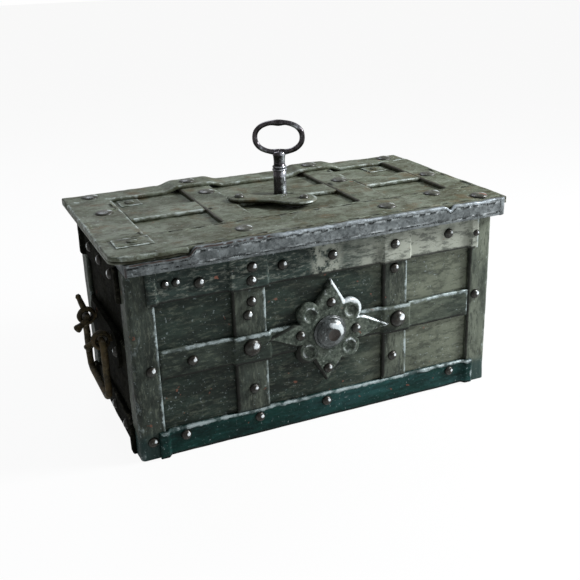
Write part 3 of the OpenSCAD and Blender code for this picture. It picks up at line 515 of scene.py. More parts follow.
def lathe(
    profile: Array, centre: Array, axis: Array, side: Array, wear: Array, dent: float, seed: int
) -> Skin:
    """Surface of a profile turned about an axis, dented as forged iron is.

    Args:
        profile: radius and height, one pair per row, from the first pole or rim to the last.
        centre: foot of the axis.
        axis: unit vector of the axis.
        side: unit vector square to the axis.
        wear: rubbing, dirt and painted light of each row of the profile at each of the columns round the
            axis.
        dent: depth of the dents.
        seed: number that picks the dents.

    Returns:
        The skin, closed at both ends.
    """
    round_ = circle(wear.shape[1], side, np.cross(axis, side))
    places = centre + profile[:, 1, None, None] * axis + profile[:, 0, None, None] * round_[None]
    off_axis = (profile[:, 0] > 0.01)[:, None]
    marks = hammered(places, dent, seed, 7.0) * off_axis
    return grid_skin(places + marks[..., None] * (axis + round_[None]) * 0.7, wear)


def tube(path: Array, radius: Array, wear: Array, sides: int, dent: float, seed: int) -> Skin:
    """Rod of changing radius carried along a path, with dents.

    Each ring lies square to the path's own direction, its first side turned as little as can be from
    the ring before.

    Args:
        path: places in millimetres.
        radius: radius at each place.
        wear: rubbing, dirt and painted light at each place.
        sides: number of points in a ring.
        dent: depth of the dents.
        seed: number that picks the dents.

    Returns:
        The skin, closed at both ends.
    """
    direction = np.gradient(path, axis=0)
    direction /= np.linalg.norm(direction, axis=1)[:, None]
    start = X if abs(direction[0] @ X) < 0.8 else Y
    first = [start - (start @ direction[0]) * direction[0]]
    for d in direction[1:]:
        first.append(first[-1] - (first[-1] @ d) * d)
    first = np.array([f / np.linalg.norm(f) for f in first])
    ring = circle(sides, first[:, None], np.cross(direction, first)[:, None])
    places = path[:, None] + radius[:, None, None] * ring
    marks = hammered(places, dent, seed, 6.0)
    return grid_skin(places + marks[..., None] * ring, wear[:, None])


def mesh_object(name: str, skin: Skin) -> bpy.types.Object:
    """Object of a skin in metres, its closed shells facing outwards.

    Args:
        name: name of the object and its mesh.
        skin: the surface in millimetres.

    Returns:
        The object, in the scene.
    """
    mesh = bpy.data.meshes.new(name)
    mesh.from_pydata((skin.points * MM).tolist(), [], skin.faces)
    mesh.validate()
    shell = bmesh.new()
    shell.from_mesh(mesh)
    bmesh.ops.recalc_face_normals(shell, faces=shell.faces)
    shell.to_mesh(mesh)
    shell.free()
    made = bpy.data.objects.new(name, mesh)
    bpy.context.scene.collection.objects.link(made)
    return made


# ------------------------------------------------------------------ finishes


def linear(code: str) -> tuple[float, float, float, float]:
    """Linear colour of an sRGB hex value.

    Args:
        code: the colour as #rrggbb.

    Returns:
        Red, green, blue and 1.
    """
    channels = [int(code[i : i + 2], 16) / 255 for i in (1, 3, 5)]
    r, g, b = [c / 12.92 if c <= 0.04045 else ((c + 0.055) / 1.055) ** 2.4 for c in channels]
    return r, g, b, 1.0


def add_node(tree: Tree, kind: str, settings: dict | None = None, **sockets: object) -> bpy.types.Node:
    """Adds one shader node.

    Args:
        tree: tree that gets the node.
        kind: its type without the word ShaderNode.
        settings: its properties.
        sockets: inputs by name, with _ for a space, or by number as i0, i1; each a value or an output.

    Returns:
        The node.
    """
    node = tree.nodes.new("ShaderNode" + kind)
    for key, value in (settings or {}).items():
        setattr(node, key, value)
    for key, value in sockets.items():
        numbered = key[0] == "i" and key[1:].isdigit()
        socket = node.inputs[int(key[1:]) if numbered else key.replace("_", " ")]
        if isinstance(value, bpy.types.NodeSocket):
            tree.links.new(value, socket)
        else:
            socket.default_value = value
    return node


def math_of(tree: Tree, how: str, a: object, b: object, c: object = 0.0) -> Socket:
    """Numbers taken together by one Math node.

    Args:
        tree: tree that gets the node.
        how: its operation.
        a: first number or output.
        b: second one.
        c: third one, where the operation takes three.

    Returns:
        The result.
    """
    return add_node(tree, "Math", {"operation": how}, i0=a, i1=b, i2=c).outputs[0]


def fresh_tree(owner: bpy.types.ID) -> Tree:
    """Empty node tree of a material or world.

    Args:
        owner: the material or world.

    Returns:
        Its tree.
    """
    owner.use_nodes = True
    owner.node_tree.nodes.clear()
    return owner.node_tree


ALONG_X = (0.3, 1.0, 1.0)
ALONG_Y = (1.0, 0.3, 1.0)
ALONG_Z = (1.0, 1.0, 0.3)
EVEN = (1.0, 1.0, 1.0)


@dataclass(frozen=True)
class Specks:
    """Where a broken layer of a finish lies: over the greater values of a noise.

    The layer begins at the value low and is full at the value high. A size of 1 stands for the finish's
    patches, and the other sizes are in millimetres.
    """

    size: float
    detail: float
    rough: float
    low: float
    high: float
    grained: bool = True


COAT = Specks(0.4, 5, 0.6, 0.3, 0.6)
PATCHES = Specks(1.0, 6, 0.6, 0.36, 0.66)
MOTTLES = Specks(2.4, 4, 0.7, 0.48, 0.66)
SCRATCHES = Specks(3.6, 5, 0.75, 0.48, 0.6)
BLOTCHES = Specks(0.7, 8, 0.7, 0.5, 0.68, grained=False)
STAINS = Specks(24.0, 7, 0.65, 0.53, 0.66, grained=False)
CRUSTS = Specks(6.5, 6, 0.7, 0.42, 0.54, grained=False)
CHIPS = Specks(2.4, 3, 0.6, 0.64, 0.71, grained=False)
SCRAPES = Specks(9.0, 6, 0.75, 0.64, 0.74)
RUST_SPOTS = Specks(8.5, 3, 0.55, 0.7, 0.74, grained=False)
RUBBING = Specks(11.0, 4, 0.65, 0.38, 0.6, grained=False)
DULLNESS = Specks(5.0, 4, 0.6, 0.3, 0.7, grained=False)


@dataclass
class Brush:
    """Adds the shader nodes of one finish: noises, ramps and layers of colour."""

    tree: Tree
    grain: tuple
    place: Socket

    def cloud(self, size_mm: float, detail: float, rough: float = 0.6, grained: bool = False) -> Socket:
        """Noise with features of about a size.

        Args:
            size_mm: the size in millimetres.
            detail: number of finer noises in it.
            rough: strength of those.
            grained: whether it is drawn out along the finish's grain.

        Returns:
            Its value, from 0 to 1.
        """
        scale = [k / (size_mm * MM) for k in (self.grain if grained else EVEN)]
        mapped = add_node(self.tree, "Mapping", Vector=self.place, Scale=scale).outputs[0]
        noise = add_node(self.tree, "TexNoise", Vector=mapped, Scale=1.0, Detail=detail, Roughness=rough)
        return noise.outputs["Fac"]

    def between(
        self, value: object, low: float, high: float, first: float = 0.0, last: float = 1.0
    ) -> Socket:
        """Value carried smoothly from one range to another and held at both ends.

        Args:
            value: what is carried.
            low: start of its range.
            high: end of its range.
            first: what it becomes at low.
            last: what it becomes at high.

        Returns:
            The carried value.
        """
        carried = add_node(self.tree, "MapRange", {"interpolation_type": "SMOOTHSTEP"}, Value=value)
        for socket, number in zip(("From Min", "From Max", "To Min", "To Max"), (low, high, first, last)):
            carried.inputs[socket].default_value = number
        return carried.outputs[0]

    def specks(self, kind: Specks, times: float = 1.0, first: float = 0.0, last: float = 1.0) -> Socket:
        """Share of a broken layer at each place.

        Args:
            kind: how it is broken.
            times: factor of its size.
            first: share where it is bare.
            last: share where it is full.

        Returns:
            The share.
        """
        noise = self.cloud(kind.size * times, kind.detail, kind.rough, kind.grained)
        return self.between(noise, kind.low, kind.high, first, last)

    def layer(self, under: object, over: str, share: object, most: float = 1.0) -> Socket:
        """A colour laid over another.

        Args:
            under: what is under it.
            over: its hex value.
            share: how much of it covers.
            most: factor of that share.

        Returns:
            The colour.
        """
        share = share if most == 1.0 else math_of(self.tree, "MULTIPLY", share, most)
        mixed = add_node(self.tree, "Mix", {"data_type": "RGBA"}, i0=share, i6=under, i7=linear(over))
        return mixed.outputs[2]

    def add(self, value: object, factor: float, more: object) -> Socket:
        """A value times a factor, and more.

        Args:
            value: the value.
            factor: the factor.
            more: what is added.

        Returns:
            The sum.
        """
        return math_of(self.tree, "MULTIPLY_ADD", value, factor, more)


@dataclass(frozen=True)
class IronFinish:
    """Painted wrought iron, worn by centuries of handling.

    Wrought iron has hammer marks and a soft grain along the bar. Thin linseed-oil paint on it bleaches
    in patches, cracks and chips. It rubs off the edges, where the iron turns pale and shines a little,
    and dirt lies in the corners. Rust shows as brown specks. Painted light is laid in the same layers:
    the pale edge colour also serves as painted highlight, the dark grime colour as painted shade, and
    a gradient along X is partly faded paint and partly painted light.
    """

    name: str
    deep: str
    paint: str
    bleached: str
    # The edge colour is laid on rubbed edges and as painted highlight; the grime colour as dirt and as
    # painted shade.
    edge: str = "#a9b7b8"
    grime_and_shade: str = "#12130f"
    rust: str = "#8a5240"
    # A gradient along X, partly faded paint and partly painted light: its two ends, and what it adds there to
    # the bleached patches.
    fade_and_light_from: float = -160.0
    fade_and_light_to: float = 160.0
    fade_and_light_left: float = 0.0
    fade_and_light_right: float = 0.0
    patch_mm: float = 26.0
    mottle: float = 0.5
    rust_share: float = 0.5
    edge_share: float = 0.85
    chip_share: float = 0.4
    roughness: float = 0.56
    metallic: float = 0.0
    specular: float = 0.2
    grain: tuple = ALONG_X
    bump_mm: float = 0.55
    blotch: float = 0.45
    least_edge: float = 0.12
    foot: str = ""
    stain: str = ""
    foot_mm: float = 26.0
    crust_at: float | None = None
    crust_mm: float = 17.0

    def build(self) -> bpy.types.Material:
        """The node tree of this finish.

        Returns:
            The material.
        """
        material = bpy.data.materials.new(self.name)
        tree = fresh_tree(material)
        brush = Brush(tree, self.grain, add_node(tree, "TexCoord").outputs["Object"])
        colour = self.worn_paint(brush)
        wear = add_node(tree, "Attribute", {"attribute_name": "wear"}).outputs["Fac"]
        # Where the attribute value and a broken noise together are high enough, the pale edge colour is laid:
        # paint rubbed off, and painted highlight. Where they are low enough, the dark grime colour is laid:
        # dirt, and painted shade. Rubbed iron is smoother and a little metallic.
        broken = brush.cloud(6.0, 6, 0.7)
        spread = 3.2
        wear_light_and_noise = brush.add(broken, spread, math_of(tree, "SUBTRACT", wear, spread / 2))
        rubbed_and_highlit = brush.between(wear_light_and_noise, 0.35, 1.1)
        rubbed_and_highlit = math_of(tree, "MULTIPLY", rubbed_and_highlit, brush.specks(RUBBING, first=self.least_edge))
        dirt_and_shade = brush.between(brush.add(broken, 0.8, brush.add(wear, -1.0, -0.4)), 0.15, 0.75)
        colour = brush.layer(colour, self.grime_and_shade, dirt_and_shade, 0.9)
        colour = brush.layer(colour, self.edge, rubbed_and_highlit, self.edge_share)
        rough = brush.specks(DULLNESS, first=self.roughness - 0.08, last=self.roughness + 0.12)
        pits = math_of(tree, "MULTIPLY", brush.cloud(6.0, 5, 0.6, grained=True), 0.65)
        heights = brush.add(brush.cloud(1.7, 4), 0.35, pits)
        bump = add_node(tree, "Bump", Strength=0.9, Distance=self.bump_mm * MM, Height=heights)
        shader = add_node(
            tree,
            "BsdfPrincipled",
            Base_Color=colour,
            Roughness=brush.add(rubbed_and_highlit, -0.16, rough),
            Metallic=self.metallic if self.metallic else math_of(tree, "MULTIPLY", rubbed_and_highlit, 0.3),
            Normal=bump.outputs[0],
        )
        if self.metallic < 0.5:
            shader.inputs["Specular IOR Level"].default_value = self.specular
        add_node(tree, "OutputMaterial", Surface=shader.outputs[0])
        return material

    def worn_paint(self, brush: Brush) -> Socket:
        """The paint: its coat, bleached and dark patches, a gradient along X that is partly faded paint and
        partly painted light, stains, crust, chips and rust.

        Args:
            brush: adds the nodes.

        Returns:
            The colour.
        """
        tree, patch = brush.tree, self.patch_mm
        split = add_node(tree, "SeparateXYZ", Vector=brush.place)
        along, up = split.outputs[0], split.outputs[2]
        # Painted light: the paint darkens towards one end along X and lightens towards the other, partly as
        # faded paint and partly as the fall of light across the box.
        fade_and_light = brush.between(along, self.fade_and_light_from * MM, self.fade_and_light_to * MM, self.fade_and_light_left, self.fade_and_light_right)
        faded_and_lit = brush.add(brush.specks(PATCHES, patch), 0.55, fade_and_light)
        colour = brush.layer(linear(self.deep), self.paint, brush.specks(COAT, patch))
        colour = brush.layer(colour, self.bleached, brush.between(faded_and_lit, 0.1, 0.95))
        colour = brush.layer(colour, self.bleached, brush.specks(MOTTLES), self.mottle)
        colour = brush.layer(colour, self.deep, brush.specks(SCRATCHES), self.mottle + 0.1)
        colour = brush.layer(colour, self.deep, brush.specks(BLOTCHES, patch), self.blotch)
        if self.stain:
            colour = brush.layer(colour, self.stain, brush.specks(STAINS), 0.6)
        if self.foot:
            high = self.foot_mm * MM
            wavy = brush.add(brush.cloud(9.0, 4), 0.5 * high, up)
            colour = brush.layer(colour, self.foot, brush.between(wavy, 0.8 * high, 1.25 * high, 0.85, 0.0))
        if self.crust_at is not None:
            away = math_of(tree, "ABSOLUTE", math_of(tree, "SUBTRACT", along, self.crust_at * MM), 0.0)
            near = brush.between(away, 0.45 * self.crust_mm * MM, self.crust_mm * MM, 0.9, 0.0)
            crusty = math_of(tree, "MULTIPLY", near, brush.specks(CRUSTS))
            colour = brush.layer(colour, self.bleached, crusty)
        colour = brush.layer(colour, self.edge, brush.specks(CHIPS), self.chip_share)
        colour = brush.layer(colour, self.edge, brush.specks(SCRAPES), self.chip_share * 0.7)
        return brush.layer(colour, self.rust, brush.specks(RUST_SPOTS), self.rust_share)


class Finish(Enum):
    """The finishes of the strongbox."""

    SHEET = IronFinish(
        "painted_wrought_iron_sheet", "#121a15", "#29362f", "#6d7364", fade_and_light_from=-10.0, fade_and_light_to=130.0,
        fade_and_light_left=-0.3, fade_and_light_right=0.8, mottle=0.38, rust="#96604e",
    )  # fmt: skip
    # Painted shade: the ends, the bottom and the handle plates take this nearly black copy of the paint with
    # almost no gloss, as shade on the ends.
    END = IronFinish(
        "smoked_wrought_iron_end", "#080805", "#151612", "#2e2e27", edge="#6c6a5c", grain=ALONG_Y,
        chip_share=0.2, roughness=0.8, specular=0.02,
    )  # fmt: skip
    STRAP = IronFinish(
        "painted_wrought_iron_strap", "#151d18", "#2e3831", "#687061", fade_and_light_from=-20.0, fade_and_light_to=140.0,
        fade_and_light_left=-0.3, fade_and_light_right=0.15, mottle=0.4,
    )  # fmt: skip
    UPRIGHT = IronFinish(
        "painted_wrought_iron_upright", "#1a201b", "#3a423b", "#6f7668", fade_and_light_from=-60.0, fade_and_light_left=-0.15,
        fade_and_light_right=0.28, grain=ALONG_Z, mottle=0.5, foot="#1d3635",
    )  # fmt: skip
    TOP_BAND = IronFinish(
        "bleached_wrought_iron_band", "#14201c", "#31403b", "#a1a69a", fade_and_light_from=-40.0, fade_and_light_to=105.0,
        fade_and_light_left=-0.3, fade_and_light_right=1.05, rust_share=0.8, rust="#96604e", crust_at=3.0,
    )  # fmt: skip
    GREEN = IronFinish(
        "green_painted_wrought_iron", "#041816", "#0b302b", "#2d5656", fade_and_light_left=-0.35, fade_and_light_right=0.1,
        mottle=0.3, specular=0.12,
    )  # fmt: skip
    LID = IronFinish(
        "rubbed_painted_lid_iron", "#35331f", "#596050", "#7c8375", edge="#b4bfba", grime_and_shade="#2b2719",
        fade_and_light_left=0.15, fade_and_light_right=0.05, mottle=0.45, rust_share=0.4, chip_share=0.45, roughness=0.52,
        grain=(0.6, 1.0, 1.0), blotch=0.6, stain="#54452a",
    )  # fmt: skip
    LIP = IronFinish(
        "forged_iron_edge_bar", "#343a3b", "#4d5455", "#7a8182", edge="#b3bec4", grime_and_shade="#38231a",
        fade_and_light_left=0.35, fade_and_light_right=0.4, mottle=0.55, roughness=0.52, specular=0.3, grain=EVEN, patch_mm=14.0,
    )  # fmt: skip
    # Its near-white edge colour is laid on the rubbed rim and as the painted highlight along the plate's
    # upper right.
    LOCK = IronFinish(
        "rubbed_iron_lock_plate", "#222a24", "#4e584f", "#737c70", edge="#dde6e8", mottle=0.5, patch_mm=12.0,
        grain=EVEN, blotch=0.35, chip_share=0.25, edge_share=0.95, least_edge=0.6,
    )  # fmt: skip
    # Its near-white edge colour is laid as the painted highlight on each rivet head.
    RIVET = IronFinish(
        "wrought_iron_rivet", "#17120d", "#2c2821", "#454a46", edge="#e9f1f4", patch_mm=7.0, grain=EVEN,
        roughness=0.33, metallic=0.45, specular=0.5, bump_mm=0.12, edge_share=0.95, rust_share=0.3,
        least_edge=0.8, chip_share=0.1,
    )  # fmt: skip
    # Its near-white edge colour is laid as the painted highlight crescent on the boss.
    BOSS = IronFinish(
        "battered_iron_boss", "#20211f", "#454c4c", "#727b7c", edge="#e2ebee", grime_and_shade="#201710", patch_mm=9.0,
        grain=EVEN, roughness=0.32, metallic=0.25, specular=0.5, bump_mm=0.25, edge_share=0.9, rust_share=0.5,
        least_edge=0.7, chip_share=0.2,
    )  # fmt: skip
    # Its pale edge colour is laid as the painted highlight on each lid rivet.
    LID_RIVET = IronFinish(
        "painted_lid_rivet", "#25221a", "#44453a", "#6c7064", edge="#d3dcda", patch_mm=8.0, grain=EVEN,
        roughness=0.36, specular=0.5, bump_mm=0.2, edge_share=0.85, least_edge=0.7, chip_share=0.15,
    )  # fmt: skip
    RUSTY = IronFinish(
        "rusted_wrought_iron", "#14120b", "#2b271b", "#5a5036", edge="#857d64", rust="#8a6028", patch_mm=9.0,
        grain=EVEN, rust_share=0.85, roughness=0.6, edge_share=0.6, fade_and_light_left=0.25, fade_and_light_right=0.25,
        mottle=0.6, stain="#57472a",
    )  # fmt: skip
    STEEL = IronFinish(
        "filed_lock_steel", "#4a4c4c", "#6f7272", "#8f9292", edge="#b9bcbc", rust="#6b4630", grain=EVEN,
        mottle=0.15, chip_share=0.1, roughness=0.36, metallic=0.9, bump_mm=0.12,
    )  # fmt: skip
    KEY = IronFinish(
        "polished_old_key_steel", "#221e1f", "#4c484a", "#77757a", edge="#e2e7f0", rust="#5a4030",
        patch_mm=12.0, grain=ALONG_Z, mottle=0.2, chip_share=0.1, roughness=0.24, metallic=0.9,
        bump_mm=0.08, blotch=0.4, edge_share=0.9, least_edge=0.85,
    )  # fmt: skip


class Palette:
    """Makes each finish once and gives it to pieces."""

    def __init__(self) -> None:
        """Starts with no material made."""
        self.made: dict[Finish, bpy.types.Material] = {}

    def get(self, finish: Finish) -> bpy.types.Material:
        """The material of a finish.

        Args:
            finish: which finish.

        Returns:
            The material.
        """
        if finish not in self.made:
            self.made[finish] = finish.value.build()
        return self.made[finish]

    def piece(
        self, name: str, skin: Skin, body: str, finish: Finish, slot: str, *nodes: str
    ) -> bpy.types.Object:
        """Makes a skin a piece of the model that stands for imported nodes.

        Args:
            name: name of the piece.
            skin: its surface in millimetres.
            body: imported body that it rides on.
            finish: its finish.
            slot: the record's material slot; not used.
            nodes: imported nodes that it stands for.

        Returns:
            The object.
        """
        piece = mesh_object(name, skin)
        mesh = piece.data
        mesh.attributes.new("wear", "FLOAT", "POINT").data.foreach_set("value", skin.wear.astype(np.float32))
        mesh.materials.append(self.get(finish))
        mesh.shade_smooth()
        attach(piece, body)
        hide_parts(*nodes)
        LOG.info("%s: %d faces on %s", name, len(mesh.polygons), body)
        return piece

    def dress(self, finish: Finish, *nodes: str) -> None:
        """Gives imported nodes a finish.

        Args:
            finish: which finish.
            nodes: names of the nodes.
        """
        for node in nodes:
            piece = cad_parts[node]
            piece.data.materials.clear()
            piece.data.materials.append(self.get(finish))
            LOG.info("%s: packed shape, %s", node, finish.value.name)


# ------------------------------------------------------------------ the box


@dataclass
class WallSide:
    """One wall of the box: its name, the direction along it and the direction out of it."""

    name: str
    along: Array
    out: Array


FRONT = WallSide("front", X, -Y)
BACK = WallSide("back", -X, Y)
LEFT = WallSide("left", -Y, -X)
RIGHT = WallSide("right", Y, X)


def strap_from(
    node: str,
    along: Array,
    across: Array,
    out: Array,
    forging: Forging,
    crossings: Sequence[tuple[float, float]] = (),
    thick: float | None = None,
) -> Bar:
    """Bar that takes the place and size of a packed strap.

    Args:
        node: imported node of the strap.
        along: direction of its length.
        across: direction of its width.
        out: direction of its face.
        forging: how it was forged.
        crossings: stretches where it steps over others.
        thick: its thickness, where that isn't the depth of its box.

    Returns:
        The bar.
    """
    start, end = reach(node, along)
    low, high = reach(node, across)
    base, face = reach(node, out)
    thick = thick or face - base
    return Bar(along, across, out, start, end, low, high, base, thick, crossings, forging=forging)


def block(low: Array, high: Array, forging: Forging, thick: float | None = None) -> Bar:
    """Bar along X that lies flat and fills a box.

    Args:
        low: lowest corner.
        high: highest corner.
        forging: how it was forged.
        thick: its thickness, where that isn't the height of the box.

    Returns:
        The bar.
    """
    thick = thick or high[2] - low[2]
    return Bar(X, Y, Z, low[0], high[0], low[1], high[1], low[2], thick, forging=forging)


@dataclass
class Carcass:
    """Sheets, corner straps, uprights and bands of the box."""

    palette: Palette
    strap: float = 3.5
    corner_leg: float = 21.0
    corner_shoulder: float = 1.3

    def build(self) -> None:
        """Builds every piece of the box's walls."""
        self.sheets()
        self.corner_straps()
        self.front_straps()
        self.other_bands()
        self.hinge_straps()

    def sheets(self) -> None:
        """Dented wall sheets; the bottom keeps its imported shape."""
        for seed, side in enumerate((FRONT, BACK, LEFT, RIGHT), start=40):
            node = f"{side.name}_plate"
            forging = WALL_SHEET.worn(0, 0, 0, 0, seed)
            skin = strap_from(node, side.along, Z, side.out, forging).skin()
            finish = Finish.SHEET if side in (FRONT, BACK) else Finish.END
            self.palette.piece(f"{side.name}_sheet", skin, "box", finish, "painted_sheet", node)
        self.palette.dress(Finish.END, "bottom_plate")

    def corner_straps(self) -> None:
        """Angles folded over the four corners, each an L-shaped section carried upright."""
        corners_of_box = itertools.product((("front", -1), ("back", 1)), (("left", -1), ("right", 1)))
        for seed, ((depth, sy), (width, sx)) in enumerate(corners_of_box, start=60):
            node = f"corner_strap_{depth}_{width}"
            low, high = corners(node)
            corner = np.array([low[0] if sx < 0 else high[0], low[1] if sy < 0 else high[1]])
            skin = self.corner_skin(corner, sx, sy, low[2], high[2], seed)
            name = node.replace("strap", "angle")
            self.palette.piece(name, skin, "box", Finish.UPRIGHT, "painted_straps", node)

    def corner_skin(self, corner: Array, sx: int, sy: int, bottom: float, top: float, seed: int) -> Skin:
        """One folded angle.

        The section starts at the edge of the front leg, rounds its shoulder, runs to the fold, follows a
        quarter circle of the strap's thickness, runs down the side leg and comes back along the inside.

        Args:
            corner: outer corner of the box.
            sx: side along X, -1 or 1.
            sy: side along Y, -1 or 1.
            bottom: lowest height.
            top: greatest height.
            seed: number that picks the dents.

        Returns:
            The skin.
        """
        t, leg, r = self.strap, self.corner_leg, self.corner_shoulder
        inset = np.concatenate([[0, 0], r * (1 - np.cos(SHOULDER_ARC)), [r + 1, r + 2.4]])
        depth = np.concatenate([[t, r], r - r * np.sin(SHOULDER_ARC), [0, 0]])
        edge = np.stack([leg - inset, depth], 1)
        # The front leg's inner edge is paled on the left angles, where it faces right, as rubbing and painted
        # highlight, and darkened on the right angles, where it faces left, as painted shade.
        worn = np.array([0.2, 0.8, 1, 1, 0.9, 0.4, 0]) * (1.0 if sx < 0 else -0.7)
        flat = np.stack([np.linspace(leg - 7, t + 2, 4), np.zeros(4)], 1)
        fold_angle = np.radians(np.linspace(0, 90, 7))
        fold = np.stack([t - t * np.sin(fold_angle), t - t * np.cos(fold_angle)], 1)
        leg_one = np.vstack([edge, flat])
        section = np.vstack([leg_one, fold, leg_one[::-1, ::-1], [[t, t]]])
        wear_one = np.concatenate([worn, np.zeros(4)])
        wear = np.concatenate([wear_one, np.full(7, 0.3), 0.3 * wear_one[::-1], [0]])
        z = spaced(bottom, top, 4.0, [bottom + 0.4, bottom + 1, top - 1, top - 0.4])
        x = corner[0] - sx * section[:, 0]
        y = corner[1] - sy * section[:, 1]
        grid = np.stack(np.broadcast_arrays(x[None], y[None], z[:, None]), -1)
        facing = np.clip(1 - section / t, 0, 1) * np.array([sx, sy])
        marks = hammered(grid, 0.3, seed)
        return grid_skin(grid + marks[..., None] * np.column_stack([facing, 0 * x])[None], wear)

    def front_straps(self) -> None:
        """The two uprights and the three bands that step over them on the front."""
        uprights = []
        for seed, side in enumerate(("left", "right"), start=70):
            node = f"front_upright_{side}"
            # Each upright's left edge is darkened as dirt and painted shade, its right edge paled as rubbing
            # and painted highlight.
            forging = Forging(high_wear_and_light=1.1, low_wear_and_light=-0.9, end_wear=0.2, seed=seed)
            skin = strap_from(node, Z, X, -Y, forging).skin()
            uprights.append(reach(node, X))
            self.palette.piece(f"upright_{side}", skin, "box", Finish.UPRIGHT, "painted_straps", node)
        past_corner = 170.0
        left, right = (reach(f"corner_strap_front_{side}", X) for side in ("left", "right"))
        laps = [(-past_corner, left[1]), (right[0], past_corner)]
        bands = (
            ("bottom", laps, Finish.GREEN, "green_band", 1.2),
            ("middle", uprights, Finish.STRAP, "painted_straps", 1.2),
            ("top", laps + uprights, Finish.TOP_BAND, "painted_straps", 0.2),
        )
        for seed, (level, crossings, finish, slot, high_wear_and_light) in enumerate(bands, start=80):
            node = f"front_{level}_band"
            # Each band's lower edge and left end are darkened as dirt and painted shade; its upper edge and
            # right end are paled as rubbing and painted highlight.
            forging = Forging(high_wear_and_light=high_wear_and_light, low_wear_and_light=-0.8, seed=seed)
            skin = strap_from(node, X, Z, -Y, forging, crossings, self.strap).skin()
            self.palette.piece(f"front_{level}_strap", skin, "box", finish, slot, node)

    def other_bands(self) -> None:
        """Bands of the back and of both ends, at the heights of the front ones."""
        levels = {level: reach(f"front_{level}_band", Z) for level in ("bottom", "middle", "top")}
        ends_of_side = (
            (BACK, "back_right", "back_left"),
            (LEFT, "back_left", "front_left"),
            (RIGHT, "front_right", "back_right"),
        )
        for side, *corner_names in ends_of_side:
            first, last = (reach(f"corner_strap_{name}", side.along) for name in corner_names)
            laps = [(first[0] - 10, first[1]), (last[0], last[1] + 10)]
            base = reach(f"{side.name}_plate", side.out)[1]
            skins = []
            for seed, (level, (low, high)) in enumerate(levels.items(), start=90 + ord(side.name[0])):
                node = f"back_{level}_band" if side is BACK else f"{side.name}_end_bands"
                middle = level == "middle"
                ends = (first[1], last[0]) if middle else reach(node, side.along)
                # Lower edges and first ends are darkened as dirt and painted shade, upper edges and last ends
                # paled as rubbing and painted highlight.
                forging = Forging(high_wear_and_light=0.5, end_wear=0.3, seed=seed)
                crossings = () if middle else laps
                edges = (*ends, low, high)
                bar = Bar(side.along, Z, side.out, *edges, base, self.strap, crossings, forging=forging)
                skins.append(bar.skin())
                if side is BACK:
                    green = level == "bottom"
                    finish, slot = (Finish.GREEN, "green_band") if green else (Finish.STRAP, "painted_straps")
                    self.palette.piece(f"back_{level}_strap", skins.pop(), "box", finish, slot, node)
            if skins:
                name = f"{side.name}_end_straps"
                self.palette.piece(name, joined(skins), "box", Finish.END, "painted_straps", node)

    def hinge_straps(self) -> None:
        """The hinge straps of the back keep their packed, bored shape, as the pins and the rim do."""
        self.palette.dress(Finish.STRAP, "back_hinge_strap_left", "back_hinge_strap_right")
        self.palette.dress(Finish.STEEL, "hinge_pins")
        self.palette.dress(Finish.LIP, "rim_flange")


